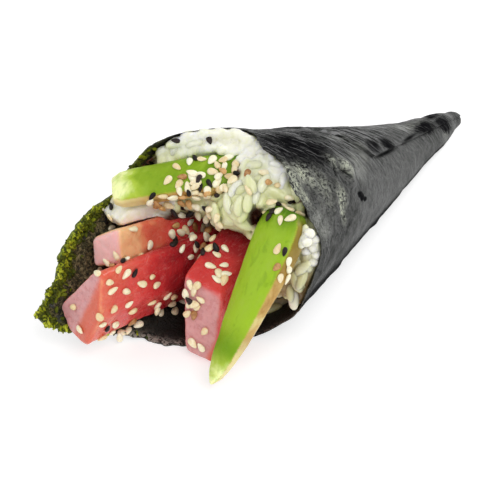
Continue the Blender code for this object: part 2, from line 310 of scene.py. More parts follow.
# %% Camera
CAMERA_AZIMUTH = math.radians(36.16)
CAMERA_ELEVATION = math.radians(37)
CAMERA_DISTANCE = 480 * MM
LENS = 152.7
LOOK_AT = np.array((5.45 * MM, -100.8 * MM, 20 * MM))
away = np.array((
    math.sin(CAMERA_AZIMUTH) * math.cos(CAMERA_ELEVATION),
    -math.cos(CAMERA_AZIMUTH) * math.cos(CAMERA_ELEVATION),
    math.sin(CAMERA_ELEVATION),
))
camera = bpy.data.objects.new("camera", bpy.data.cameras.new("camera"))
bpy.context.scene.collection.objects.link(camera)
camera.data.lens = LENS
camera.data.sensor_width = 36.0
camera.data.clip_start = 10 * MM
camera.location = apex + LOOK_AT + away * CAMERA_DISTANCE
camera.rotation_mode = "QUATERNION"
camera.rotation_quaternion = Vector(-away).to_track_quat("-Z", "Y")
bpy.context.scene.camera = camera

# %% [markdown]
# ## Nori: the cone
#
# The wrapper is half a sheet of seaweed, wound so tightly that it reads as one skin with a step where
# its last turn ends.  It could be modelled as a real spiral, but the hidden turns would never show.
# Here the flat pattern is a strip of numbers, azimuth and distance from the apex, and a node tree winds
# it.  Because winding is a rule, every wrinkle can be added in the same tree.

# %% Nori sizes
SHEET_DEPTH = 105 * MM
RIM_LOW_AZIMUTH = 127.0
RIM_DIPS = (  # azimuth, depth, width in degrees
    (-172, 8 * MM, 15),
    (20, 6 * MM, 24),
    (-20, 4 * MM, 14),
    (-48, -3.6 * MM, 10),
    (-45, -0.8 * MM, 5),
    (-60, -0.7 * MM, 2.5),
    (-66.5, 1.3 * MM, 2.8),
    (-80, 0.7 * MM, 6),
    (-76, -1.8 * MM, 10),
    (-99, 6.5 * MM, 7),
    (-86, 1.0 * MM, 7),
    (44, 3.8 * MM, 14),
    (-114, 4 * MM, 14),
    (78, -4 * MM, 12),
    (141, -4.3 * MM, 10),
    (129, -2.6 * MM, 7),
    (119.5, -3.4 * MM, 6.5),
    (165, -1.6 * MM, 7),
    (58, 1.5 * MM, 8),
    (69, 1.3 * MM, 6),
    (-8, -1.2 * MM, 12),
)
WALL = 0.7 * MM
LAYER = 0.35 * MM
SEAM_AZIMUTH = 136.0
SEAM_LENGTH = 63 * MM
CORNER_TURN = math.radians(23)
STEP_WIDTH = 0.35 * MM
STEP_ENDS = 290                 # turn from the seam at which the last turn's edge has run out
TIP_START = 2.2 * MM
TIP_INNER = 13 * MM
# Bumps and dents of the wound sheet: azimuth, distance, height and reach.
BUMPS = (
    (144, 85, 1.3, 2.6),
    (137, 79.5, 1.2, 2.3),
    (128, 80, 0.8, 2.2),
    (133, 89, 0.6, 2.6),
    (139, 83, -0.6, 1.4),
    (132, 84, -0.5, 1.6),
    (118, 97, 0.6, 3.6),
    (119, 106, 0.5, 3.0),
    (146, 107, 0.5, 3.4),
    (104, 100, 0.3, 3.2),
    (156, 30, -0.7, 3.4),
    (196, 16, -0.6, 2.4),
    (172, 22, 0.5, 2.6),
    (112, 77, -0.4, 1.6),
    (165, 96, -0.5, 4.0),
    (150, 73, -0.4, 3.4),
    (140, 103, 0.4, 2.4),
    (126, 101, 0.4, 2.2),
    (186, 90, -0.7, 11.0),
    (182, 9, 0.2, 5.0),
    (178, 3.0, 0.9, 2.6),
    (202, 100, 0.45, 7.0),
    (198, 72, -0.6, 8.0),
    (70, 103, -0.6, 6.0),
    (65, 86, 0.3, 1.6),
    (64, 62, 0.3, 1.4),
    (66, 44, -0.3, 2.0),
)
# Where the sheet is darkest (darker nori and painted shade), where painted glitter lies on its crinkles, and
# where painted sheen lies on smooth lumps: azimuth, distance, reach round, reach along, amount.
DARK_AND_SHADED_PLACES = (
    (163, 92, 6, 8, 1.0),
    (153, 99, 4, 6, 1.0),
    (158, 103, 5, 5, 1.0),
    (167, 100, 5, 6, 0.9),
    (149, 91, 3, 5, 0.8),
    (156, 87, 5, 6, 1.0),
    (171, 92, 4, 4, 0.9),
    (176, 80, 5, 6, 0.5),
    (147, 58, 2.6, 4, 0.8),
    (144.5, 50, 2.6, 4, 0.8),
    (150, 24, 2.2, 5, 1.0),
    (139, 14, 2.0, 4, 1.0),
    (194, 14, 1.4, 2.4, 1.0),
    (172, 4, 3.0, 3.0, 0.35),
    (129, 91, 2.5, 3, 0.5),
    (113.5, 77.2, 0.7, 0.9, 1.3),
    (111, 76.4, 1.0, 0.8, 1.3),
    (108, 75.2, 0.5, 0.9, 1.2),
)
PAINTED_GLITTER_PLACES = (
    (147, 108, 3.5, 3.5, 1.0),
    (139, 108, 3, 3.5, 1.0),
    (132, 107, 2.5, 3, 1.0),
    (144, 103, 3, 4, 1.0),
    (122, 88, 3.4, 2.6, 0.8),
    (141, 100, 4, 4, 0.8),
    (134, 96, 4.5, 4.5, 0.7),
    (144, 85, 2.2, 2.2, 0.7),
    (137.5, 80, 3, 3, 0.8),
    (120, 90, 2.8, 2.4, 1.0),
    (114, 90, 2.8, 2.2, 1.0),
    (108, 89.5, 2, 2, 0.7),
    (127, 97, 6, 6, 0.4),
)
PAINTED_SHEEN_PLACES = (
    (127, 107, 1.8, 3, 0.7),
    (118, 105.5, 2.4, 3.5, 1.2),
    (110, 102.5, 2.2, 3, 1.0),
    (140, 72, 2.4, 2.2, 1.0),
    (130, 74, 2.0, 1.8, 0.7),
    (138.5, 79.5, 1.8, 1.8, 0.9),
    (134, 80, 1.5, 1.6, 0.7),
    (146, 84.5, 1.2, 1.4, 0.8),
    (167, 69, 1.4, 5, 0.5),
    (151, 66, 1.8, 3, 0.7),
    (133, 71, 2.0, 2.4, 0.8),
    (140, 67, 1.8, 2.2, 0.7),
    (176, 30, 2.2, 7, 0.8),
    (104, 15.5, 1.2, 1.6, 0.6),
)
# Sharp creases: azimuth and distance of both ends, width, depth in mm.
CREASES = (
    (174, 69.5, 165, 66.0, 0.5, 0.5),
    (165, 66.0, 154, 64.5, 0.5, 0.6),
    (141.5, 86.0, 134, 87.0, 0.5, 0.9),
    (138, 82.5, 129.5, 81.0, 0.45, 0.8),
    (135, 76.0, 129, 77.5, 0.4, 0.5),
    (134, 61.0, 134, 46.0, 0.6, 0.5),
    (136, 42.0, 148, 28.0, 0.6, 0.4),
)
CREASE_TURN = math.radians(27)  # how the long creases lie on the flat sheet
FLAP_AZIMUTH = -56.0            # the corner of the frayed flap
FLAP_MIDDLE = -74.0


def roll_profile(s, azimuth):
    """How far the inside of the wound sheet stands off the plain cone."""
    off = 1.3 * MM * bell(s - 13 * MM, 11 * MM) - WALL
    top = bell(turn_between(azimuth, 180), 60)
    off += 0.85 * MM * bell(turn_between(azimuth, 72), 34) * bell(s - 42 * MM, 26 * MM)
    return off - top * (1.6 * MM * bell(s - 45 * MM, 26 * MM) + 0.6 * MM * bell(s - 22 * MM, 9 * MM))


def rim_distance(azimuth):
    turn = turn_between(azimuth, RIM_LOW_AZIMUTH)
    distance = SHEET_DEPTH / math.cos(math.radians(turn) * math.sin(HALF_ANGLE))
    for at, depth, width in RIM_DIPS:
        distance -= depth * bell(turn_between(azimuth, at), width)
    return distance


def step_distance(turn_from_seam, azimuth):
    limit = rim_distance(azimuth) - 3 * STEP_WIDTH
    sheet_turn = CORNER_TURN + math.radians(turn_from_seam) * math.sin(HALF_ANGLE)
    if sheet_turn > math.radians(75):
        back = ease(STEP_ENDS, 360, turn_from_seam)
        return limit + (SEAM_LENGTH - limit) * back
    return min(limit, SEAM_LENGTH * math.cos(CORNER_TURN) / math.cos(sheet_turn))


def ragged(azimuth, size, seed):
    """A torn edge's wander, between about -1 and 1."""
    angle = math.radians(azimuth)
    return noise.noise(Vector((math.cos(angle), math.sin(angle), seed)) * (24 * MM / size))


# %% Nori: the flat pattern
COLUMNS = 400
ROWS_TO_STEP = 150
ROWS_TO_RIM = 120
ROWS_INSIDE = 110
TIP_RINGS = (0.15, 0.55, 0.85)
EDGE_LIFT = 0.35 * MM
RIM_THIN = 0.3 * MM


def bumps_at(s, azimuth):
    height = np.zeros_like(s)
    for at_azimuth, at_s, lift, reach in BUMPS:
        across = math.radians(turn_between(azimuth, at_azimuth)) * math.sin(HALF_ANGLE) * s
        height += lift * MM * bell(np.hypot(across, s - at_s * MM), reach * MM)
    return height


def places_at(places, s, azimuth):
    """How strongly each point lies in one of the listed places, from 0 to 1."""
    amount = np.zeros_like(s)
    for at_azimuth, at_s, round_reach, along_reach, share in places:
        across = np.radians(turn_between(azimuth, at_azimuth)) * math.sin(HALF_ANGLE) * s / MM
        amount = np.maximum(amount, share * bell(np.hypot(across / round_reach, (s / MM - at_s) / along_reach), 1.0))
    return amount


def on_sheet(azimuth, s):
    """Where a place lies when the cone is rolled out flat."""
    angle = np.radians(turn_between(azimuth, SEAM_AZIMUTH)) * math.sin(HALF_ANGLE)
    return s * np.sin(angle), s * np.cos(angle)


def creases_at(s, azimuth):
    """How deep in a sharp crease each point lies, from 0 to 1, and the depth in metres."""
    x, y = on_sheet(azimuth, s)
    amount, depth = np.zeros_like(s), np.zeros_like(s)
    for azimuth_a, s_a, azimuth_b, s_b, width, deep in CREASES:
        a = np.array(on_sheet(azimuth_a, s_a * MM))
        along = np.array(on_sheet(azimuth_b, s_b * MM)) - a
        share = np.clip(((x - a[0]) * along[0] + (y - a[1]) * along[1]) / (along @ along), 0, 1)
        gap = np.hypot(x - a[0] - share * along[0], y - a[1] - share * along[1])
        here = bell(gap, width * MM) * (0.35 + 0.65 * np.sin(math.pi * np.clip(share, 0.08, 0.92)))
        amount = np.maximum(amount, here)
        depth = np.maximum(depth, here * deep * MM)
    return amount, depth


def nori_column(turn):
    """Azimuth, distance, height, floor, inside and step of one column: out to the rim and back inside."""
    azimuth = SEAM_AZIMUTH + turn
    step = step_distance(turn, azimuth) + 0.5 * MM * ragged(azimuth, 3 * MM, 5.0)
    frayed = bell(turn_between(azimuth, FLAP_AZIMUTH), 48)
    rim = rim_distance(azimuth) + (0.5 + 0.9 * frayed) * MM * ragged(azimuth, 4 * MM, 1.0)
    rim += (0.25 + 1.0 * frayed) * MM * ragged(azimuth, 1.5 * MM, 2.0)
    rim += 0.7 * frayed * MM * ragged(azimuth, 0.7 * MM, 3.0)
    thick = WALL + LAYER * (1 - turn / 360)
    stepped = 1 - ease(STEP_ENDS - 50, STEP_ENDS, turn)
    thin = thick - LAYER * stepped
    lower = TIP_START + (step - TIP_START) * np.linspace(0, 1, ROWS_TO_STEP) ** 1.1
    upper = step + STEP_WIDTH + (rim - step - STEP_WIDTH) * np.linspace(0, 1, ROWS_TO_RIM)
    inner = rim + (TIP_INNER - rim) * np.linspace(0, 1, ROWS_INSIDE) ** 1.7
    s = np.concatenate([lower, upper, inner])
    lift = EDGE_LIFT * stepped * bell(lower - step, 1.2 * MM) + EDGE_LIFT * bell(turn, 2.5) * ease(8 * MM, 20 * MM, lower)
    off = np.concatenate([thick + lift, np.full(ROWS_TO_RIM, max(thin, 0.8 * WALL)), np.zeros(ROWS_INSIDE)])
    inside = np.concatenate([np.zeros(ROWS_TO_STEP + ROWS_TO_RIM), np.ones(ROWS_INSIDE)])
    # Towards the rim the turns lie closer together, so the torn edge is thin.
    near_rim = bell(rim - s, 6 * MM)
    off += near_rim * ((WALL - RIM_THIN) * inside - 0.1 * MM * (1 - inside))
    height = roll_profile(s, azimuth) + off + bumps_at(s, azimuth)
    height -= creases_at(s, azimuth)[1] * (1 - inside)
    floor = inside * (0.6 * WALL)
    rim_gap = rim - s
    return np.stack([np.full_like(s, math.radians(azimuth)), s, height, floor, inside, rim_gap], axis=1)


turns = np.concatenate([np.arange(COLUMNS - 1) * 360 / (COLUMNS - 1), [359.4]])
pattern = np.stack([nori_column(t) for t in turns], axis=1)   # row, column, value
tip = np.repeat(pattern[:1], len(TIP_RINGS), axis=0)
for ring, share in enumerate(TIP_RINGS):
    tip[ring, :, 1] = TIP_START - 1.7 * MM * (1 - share) ** 1.5
    whole = TIP_START * math.sin(HALF_ANGLE) + pattern[0, :, 2]
    tip[ring, :, 2] = whole * share - tip[ring, :, 1] * math.sin(HALF_ANGLE)
pattern = np.concatenate([tip, pattern])
rows = len(pattern)
flat = pattern.reshape(-1, 6)
faces = []
for row in range(rows - 1):
    for i in range(COLUMNS):
        j = (i + 1) % COLUMNS
        a, b = row * COLUMNS, (row + 1) * COLUMNS
        faces.append((a + i, a + j, b + j, b + i))
faces.append(tuple(reversed(range(COLUMNS))))
faces.append(tuple(range((rows - 1) * COLUMNS, rows * COLUMNS)))
print("flat pattern:", rows, "rows of", COLUMNS)

# %% Nori: how crinkled each place is
azimuths = np.degrees(flat[:, 0])
distances = flat[:, 1]
inside = flat[:, 4]
rim_gap = flat[:, 5]
from_top = np.abs(turn_between(azimuths, 172))
folded = bell(from_top, 38) * ease(25 * MM, 60 * MM, distances)
folded += 0.7 * bell(from_top, 60) * bell(distances - 22 * MM, 16 * MM)
near_mouth = ease(72 * MM, 88 * MM, distances)
crinkled = (0.25 + 0.75 * near_mouth) * bell(turn_between(azimuths, 128), 42)
crinkled += 1.4 * inside * bell(turn_between(azimuths, FLAP_MIDDLE), 45) * bell(rim_gap, 16 * MM)
on_flap = bell(turn_between(azimuths, FLAP_MIDDLE), 27)
fringe = on_flap * bell(rim_gap, 2.6 * MM)
far_edge = bell(turn_between(azimuths, -118), 14) * bell(rim_gap, 1.6 * MM)
fringe = np.clip(fringe + 0.35 * far_edge, 0, 1)

nori = add_piece("nori_sheet", flat[:, :3], faces)
give(nori.data, "floor", flat[:, 3])
give(nori.data, "inside", inside)
give(nori.data, "folded", np.clip(folded, 0, 1))
give(nori.data, "crinkled", np.clip(crinkled + 0.2, 0, 1.5))
give(nori.data, "fringe", fringe)
outside = 1 - inside
# Painted shade along the cone's low side, where it turns under, and in the sharp creases.
low_edge_shade = 0.9 * (1 - ease(66, 83, azimuths % 360)) + 0.25 * (1 - ease(80, 112, azimuths % 360))
low_edge_shade *= ease(-30, 20, turn_between(azimuths, 0))
# Painted shade, together with darker nori, in the listed dark places.
dark_and_shade_here = places_at(DARK_AND_SHADED_PLACES, distances, azimuths)
give(nori.data, "dark", dark_and_shade_here * outside)
give(nori.data, "crease_and_edge_shade", np.maximum(creases_at(distances, azimuths)[0], np.clip(low_edge_shade, 0, 1)) * outside)
# Painted sheen on the smooth lumps and near the rim.
give(nori.data, "painted_sheen", places_at(PAINTED_SHEEN_PLACES, distances, azimuths) * outside)
sheet_x, sheet_y = on_sheet(azimuths, distances)
drawn_out = np.stack([
    0.12 * (sheet_x * math.cos(CREASE_TURN) + sheet_y * math.sin(CREASE_TURN)),
    sheet_y * math.cos(CREASE_TURN) - sheet_x * math.sin(CREASE_TURN),
    0.05 * inside,
], axis=1)
give(nori.data, "drawn_out", drawn_out)
# Painted glitter on the crinkles.
give(nori.data, "painted_glitter", places_at(PAINTED_GLITTER_PLACES, distances, azimuths) * (1 - inside))
# Painted glints: whitish specks along the inner lip of the lower rim.
give(nori.data, "painted_rim_glint", inside * bell(rim_gap, 2.0 * MM) * np.maximum(
    bell(turn_between(azimuths, -14), 22), 0.4 * bell(turn_between(azimuths, 42), 20)
))
# Painted shade: the cone's inside is painted near-black away from the flap's rim.
give(nori.data, "deep", inside * np.maximum(ease(9 * MM, 20 * MM, rim_gap), 1 - 1.2 * on_flap))

# %% [markdown]
# The tree below winds the strip: a point at an azimuth and distance goes round the axis at the radius
# that the cone has there.  Soft noise then lifts the skin, and each kind of wrinkle has its own weight:
# long creases where the sheet was pulled tight over the top, lumps over the rice, a curled fringe.

# %% Nori: the winding tree
def named(tree, name, kind="FLOAT"):
    return add_node(tree, "GeometryNodeInputNamedAttribute", {"Name": name}, data_type=kind).outputs[0]


def wound(tree, azimuth, s, radius, half, rise, start):
    """Where a place of the flat pattern comes to lie, as x, y and z sockets."""
    side = calc(tree, "MULTIPLY", radius, calc(tree, "SINE", azimuth))
    across = calc(tree, "MULTIPLY", calc(tree, "MULTIPLY", radius, calc(tree, "COSINE", azimuth)), -1.0)
    along = calc(tree, "MULTIPLY", s, calc(tree, "COSINE", half))
    sine, cosine = calc(tree, "SINE", rise), calc(tree, "COSINE", rise)
    y = calc(tree, "SUBTRACT", calc(tree, "MULTIPLY", across, sine), calc(tree, "MULTIPLY", along, cosine))
    z = calc(tree, "ADD", calc(tree, "MULTIPLY", across, cosine), calc(tree, "MULTIPLY", along, sine))
    local = add_node(tree, "ShaderNodeCombineXYZ", {0: side, 1: y, 2: z}).outputs[0]
    return vector_calc(tree, "ADD", local, start)


def signed_noise(tree, where, size, detail, roughness=0.5, distortion=0.0):
    return calc(tree, "SUBTRACT", noise_at(tree, where, size, detail, roughness, distortion), 0.5)


def winding_tree():
    tree, given, result = new_shape_tree(
        "wind_sheet", Apex=(0.0, 0.0, 0.0), HalfAngle=0.2, AxisRise=0.2, LumpSize=0.005, LumpHeight=0.001,
        CrinkleSize=0.001, CrinkleHeight=0.0003, CreaseSize=0.002, CreaseHeight=0.0005,
        FringeHeight=0.0005, Material=None,
    )
    take = given.outputs
    place_in_strip = add_node(tree, "GeometryNodeInputPosition").outputs[0]
    strip = add_node(tree, "ShaderNodeSeparateXYZ", {0: place_in_strip}).outputs
    plain = calc(tree, "MULTIPLY", strip[1], calc(tree, "SINE", take["HalfAngle"]))
    angles = (take["HalfAngle"], take["AxisRise"])
    skin = wound(tree, strip[0], strip[1], plain, *angles, take["Apex"])
    # Lumps and fine crinkles follow the skin evenly; creases are drawn out along the sheet.
    lump = noise_at(tree, skin, 1.0, 2.0)
    lump_scale = calc(tree, "DIVIDE", 1.0, take["LumpSize"])
    lump.node.inputs["Scale"].default_value = 0
    tree.links.new(lump_scale, lump.node.inputs["Scale"])
    lumps = calc(tree, "MULTIPLY", calc(tree, "SUBTRACT", lump, 0.5), take["LumpHeight"])
    crinkle = noise_at(tree, skin, 1.0, 4.0, 0.62, 0.6)
    tree.links.new(calc(tree, "DIVIDE", 1.0, take["CrinkleSize"]), crinkle.node.inputs["Scale"])
    crinkles = calc(tree, "MULTIPLY", calc(tree, "SUBTRACT", crinkle, 0.5), take["CrinkleHeight"])
    crease = noise_at(tree, named(tree, "drawn_out", "FLOAT_VECTOR"), 1.0, 3.0, 0.55, 0.4)
    tree.links.new(calc(tree, "DIVIDE", 1.0, take["CreaseSize"]), crease.node.inputs["Scale"])
    ridge = calc(tree, "ABSOLUTE", calc(tree, "SUBTRACT", calc(tree, "MULTIPLY", crease, 2.0), 1.0))
    creases = calc(tree, "MULTIPLY", calc(tree, "SUBTRACT", 0.25, ridge), take["CreaseHeight"])
    curl = noise_at(tree, skin, 1.1 * MM, 3.0, 0.6)
    side_sign = calc(tree, "SUBTRACT", 1.0, calc(tree, "MULTIPLY", named(tree, "inside"), 2.0))
    curls = calc(tree, "MULTIPLY", calc(tree, "MULTIPLY", curl, take["FringeHeight"]), side_sign)
    lifted = calc(tree, "MULTIPLY", calc(tree, "ADD", lumps, crinkles), named(tree, "crinkled"))
    lifted = calc(tree, "ADD", lifted, calc(tree, "MULTIPLY", creases, named(tree, "folded")))
    lifted = calc(tree, "ADD", lifted, calc(tree, "MULTIPLY", curls, named(tree, "fringe")))
    radius = calc(tree, "ADD", calc(tree, "ADD", plain, strip[2]), lifted)
    there = wound(tree, strip[0], strip[1], radius, *angles, take["Apex"])
    parts = add_node(tree, "ShaderNodeSeparateXYZ", {0: there}).outputs
    above = calc(tree, "MAXIMUM", parts[2], named(tree, "floor"))
    final = add_node(tree, "ShaderNodeCombineXYZ", {0: parts[0], 1: parts[1], 2: above}).outputs[0]
    moved = add_node(tree, "GeometryNodeSetPosition", {"Geometry": take["Geometry"], "Position": final})
    whole = add_node(tree, "GeometryNodeRealizeInstances", {"Geometry": moved.outputs[0]})
    dressed = add_node(tree, "GeometryNodeSetMaterial", {"Geometry": whole.outputs[0]})
    tree.links.new(take["Material"], dressed.inputs["Material"])
    tree.links.new(dressed.outputs[0], result.inputs[0])
    return tree


# %% [markdown]
# ## Nori: the finish
#
# Roasted nori is a felt of dried fibres: nearly black with a green cast, satin where it is flat and
# glittering where it is crinkled.  Its inner side is rougher and olive, and a torn edge lets light
# through, so it glows yellow-green.  Much of its sheen, glitter and shade is painted into the colour.

# %% Nori material
def new_material(name):
    made = bpy.data.materials.new(name)
    made.use_nodes = True
    tree = made.node_tree
    shader = tree.nodes["Principled BSDF"]
    where = add_node(tree, "ShaderNodeTexCoord").outputs["Object"]
    return made, tree, shader, where


def stored(tree, name):
    """A number that the mesh keeps for every vertex."""
    return add_node(tree, "ShaderNodeAttribute", attribute_name=name).outputs["Fac"]


def bump(tree, height, distance, strength=1.0, normal=None):
    made = add_node(tree, "ShaderNodeBump", {"Height": height, "Distance": distance, "Strength": strength})
    if normal is not None:
        tree.links.new(normal, made.inputs["Normal"])
    return made.outputs[0]


def nori_material():
    made, tree, shader, where = new_material("roasted_nori")
    blotch = noise_at(tree, where, 6 * MM, 3.0, 0.6)
    fibre = noise_at(tree, where, 0.5 * MM, 5.0, 0.65, 0.5)
    grain = noise_at(tree, where, 0.8 * MM, 6.0, 0.72, 0.6)
    crumple = noise_at(tree, where, 2.4 * MM, 4.0, 0.6, 1.6)
    sheet = add_node(tree, "ShaderNodeAttribute", attribute_name="drawn_out").outputs["Vector"]
    streak = noise_at(tree, sheet, 0.9 * MM, 5.0, 0.62, 0.3)
    inside, fringe = stored(tree, "inside"), stored(tree, "fringe")
    folded, dark, painted_glitter = stored(tree, "folded"), stored(tree, "dark"), stored(tree, "painted_glitter")
    outer = ramp(tree, fibre, (0.36, (0.010, 0.011, 0.010)), (0.50, (0.026, 0.028, 0.025)), (0.64, (0.050, 0.053, 0.047)))
    outer = mix_colours(tree, remap(tree, blotch, 0.45, 0.75, 0.0, 0.5), outer, (0.014, 0.018, 0.012))
    mottle = calc(tree, "MULTIPLY", remap(tree, crumple, 0.46, 0.66, 0.0, 0.55), remap(tree, folded, 0.0, 0.5, 1.0, 0.0))
    outer = mix_colours(tree, mottle, outer, (0.080, 0.082, 0.075))
    # Painted sheen: the smooth lumps are painted pale grey.
    painted_sheen = stored(tree, "painted_sheen")
    outer = mix_colours(tree, calc(tree, "MULTIPLY", painted_sheen, remap(tree, grain, 0.40, 0.56, 0.45, 1.0)), outer, (0.30, 0.31, 0.275))
    # Painted shade: wrinkles are painted black in their folds, and so are the streaks over the top, the dark places,
    # the creases and the low side.
    fold_shade = calc(tree, "ABSOLUTE", calc(tree, "SUBTRACT", crumple, 0.5))
    fold_shade = calc(tree, "MULTIPLY", remap(tree, fold_shade, 0.0, 0.022, 0.85, 0.0), stored(tree, "crinkled"))
    streak_shade = calc(tree, "MULTIPLY", remap(tree, streak, 0.42, 0.51, 1.0, 0.0), folded)
    ragged_dark = calc(tree, "ADD", dark, calc(tree, "MULTIPLY", calc(tree, "SUBTRACT", streak, 0.5), 2.4))
    ragged_dark = calc(tree, "ADD", ragged_dark, calc(tree, "MULTIPLY", calc(tree, "SUBTRACT", crumple, 0.5), 0.5))
    ragged_dark = calc(tree, "MULTIPLY", remap(tree, ragged_dark, 0.22, 0.62, 0.0, 1.0), remap(tree, dark, 0.05, 0.35, 0.0, 1.0))
    shade = calc(tree, "MAXIMUM", calc(tree, "MAXIMUM", calc(tree, "MULTIPLY", streak_shade, 0.9), ragged_dark), fold_shade)
    shade = calc(tree, "MAXIMUM", shade, stored(tree, "crease_and_edge_shade"))
    outer = mix_colours(tree, shade, outer, (0.003, 0.003, 0.004))
    # Painted highlights: pale along the crests of the streaks, and glittering specks on the crinkles.
    streak_highlight = calc(tree, "MULTIPLY", remap(tree, streak, 0.53, 0.62, 0.0, 0.9), folded)
    streak_highlight = calc(tree, "MULTIPLY", streak_highlight, remap(tree, dark, 0.1, 0.8, 1.0, 0.45))
    glitter_highlight = calc(tree, "MULTIPLY", remap(tree, grain, 0.475, 0.525, 0.0, 1.0), painted_glitter)
    glitter_highlight = calc(tree, "MULTIPLY", glitter_highlight, remap(tree, crumple, 0.38, 0.52, 0.6, 1.0))
    crest_highlight = calc(tree, "MAXIMUM", glitter_highlight, streak_highlight)
    crest_highlight = calc(tree, "MULTIPLY", crest_highlight, remap(tree, stored(tree, "crease_and_edge_shade"), 0.2, 0.7, 1.0, 0.0))
    highlight_colour = mix_colours(tree, painted_glitter, (0.26, 0.26, 0.26), (0.75, 0.79, 0.60))
    outer = mix_colours(tree, crest_highlight, outer, highlight_colour)
    shade = calc(tree, "MULTIPLY", shade, calc(tree, "SUBTRACT", 1.0, crest_highlight))
    inner = ramp(
        tree, grain, (0.38, (0.010, 0.011, 0.004)), (0.49, (0.085, 0.076, 0.030)),
        (0.60, (0.40, 0.33, 0.17)),
    )
    # Painted shade inside the cone.
    inner = mix_colours(tree, stored(tree, "deep"), inner, (0.004, 0.004, 0.003))
    # Painted glints on the lower rim's inner lip.
    painted_rim_glint = calc(tree, "MULTIPLY", stored(tree, "painted_rim_glint"), remap(tree, grain, 0.46, 0.54, 0.0, 1.0))
    inner = mix_colours(tree, painted_rim_glint, inner, (0.50, 0.47, 0.42))
    colour = mix_colours(tree, inside, outer, inner)
    glow = ramp(tree, grain, (0.38, (0.045, 0.075, 0.010)), (0.51, (0.28, 0.36, 0.02)), (0.62, (0.74, 0.80, 0.09)))
    colour = mix_colours(tree, fringe, colour, glow)
    tree.links.new(colour, shader.inputs["Base Color"])
    rough = remap(tree, blotch, 0.35, 0.7, 0.28, 0.46)
    rough = calc(tree, "ADD", rough, calc(tree, "MULTIPLY", inside, 0.2))
    rough = calc(tree, "ADD", rough, calc(tree, "MULTIPLY", shade, 0.5))
    tree.links.new(rough, shader.inputs["Roughness"])
    tree.links.new(remap(tree, shade, 0.0, 1.0, 0.50, 0.05), shader.inputs["Specular IOR Level"])
    weight = calc(tree, "ADD", calc(tree, "MULTIPLY", stored(tree, "crinkled"), 0.75), 0.25)
    relief = calc(tree, "MULTIPLY", calc(tree, "ADD", grain, crumple), weight)
    first = bump(tree, relief, 0.9 * MM)
    second = bump(tree, calc(tree, "MULTIPLY", streak, folded), 0.9 * MM, 1.0, first)
    tree.links.new(bump(tree, fibre, 0.14 * MM, 1.0, second), shader.inputs["Normal"])
    return made


run_tree(
    nori, winding_tree(),
    Apex=[float(x) for x in apex], HalfAngle=HALF_ANGLE, AxisRise=AXIS_RISE,
    LumpSize=5.5 * MM, LumpHeight=1.8 * MM, CrinkleSize=1.7 * MM, CrinkleHeight=1.3 * MM,
    CreaseSize=1.8 * MM, CreaseHeight=0.9 * MM, FringeHeight=1.1 * MM, Material=nori_material(),
)
finish_piece(nori, "nori", "nori_wrap")

# %% [markdown]
# ## Tuna sticks
#
# Raw tuna cut with one pull of a long knife: flat faces that sag a little, edges that have gone soft.
# Each packed stick is covered in small even faces, which take a slight waviness.  Two numbers are kept
# at every point for the finish: how much it belongs to the cut end, and how far it is from that end.

# %% Tuna shapes
def long_axis(points):
    """Centre and direction of a long piece, pointing out of the mouth."""
    centre = points.mean(0)
    axis = np.linalg.svd(points - centre, full_matrices=False)[2][0]
    return centre, axis * (1 if axis @ TO_MOUTH > 0 else -1)


# How far the red reaches into the cut end, and how deep the red of the sides already is beside it.
# The latter also holds painted light: the upper stick, which lies in shade, is painted lighter.
WARM_REACH = {"tuna_upper": 0.2 * MM, "tuna_lower": 4.6 * MM, "tuna_right": 2.5 * MM}
RED_AND_PAINTED_LIGHT = {"tuna_upper": -0.12, "tuna_lower": 0.20, "tuna_right": 0.56}
# Painted light: the upper stick's cut end, which faces the light, is painted lighter than the others.
PAINTED_END_LIGHT = {"tuna_upper": 1.0, "tuna_lower": 0.0, "tuna_right": 0.0}


def tuna_stick(name, seed):
    stick = remeshed(closed_copy(name, name + "_flesh"), 0.4 * MM, 5)
    points, normals = points_of(stick.data), normals_of(stick.data)
    centre, axis = long_axis(points)
    along = (points - centre) @ axis
    facing = normals @ axis
    end = ease(0.35, 0.92, facing) * (along > along.max() - 10 * MM)
    # The flesh is thin, and so red, towards the lower right corner of the end.
    corner = 0.88 * (points @ MOUTH_ACROSS) - 0.48 * (points @ MOUTH_UP)
    warm = ease(-WARM_REACH[name], 1.5 * MM - WARM_REACH[name], corner - corner[end > 0.5].max())
    tree = KDTree(int((end > 0.5).sum()))
    for number, index in enumerate(np.flatnonzero(end > 0.5)):
        tree.insert(Vector(points[index]), number)
    tree.balance()
    from_end = np.array([tree.find(Vector(p))[2] for p in points])
    waves = 0.22 * MM * soft_noise(points, 4 * MM, seed) + 0.07 * MM * soft_noise(points, 1.4 * MM, seed + 3)
    give(stick.data, "cut_end", end)
    give(stick.data, "from_end", from_end / MM)
    give(stick.data, "warm", np.clip(warm, 0, 1))
    give(stick.data, "red_and_painted_light", np.full(len(points), RED_AND_PAINTED_LIGHT[name]))
    height = points @ MOUTH_UP
    mauve = ease(height.max() - 12 * MM, height.max() - 4 * MM, height) * (name == "tuna_right")
    give(stick.data, "mauve", mauve)
    give(stick.data, "painted_end_light", np.full(len(points), PAINTED_END_LIGHT[name]))
    move_points(stick.data, points + normals * waves[:, None])
    return stick


# %% [markdown]
# Fresh tuna lets light in.  Its sides are deep red, the cut end scatters light and looks lilac, and the
# thin edge behind the end glows orange.  Fine pale lines of sinew cross the flesh.

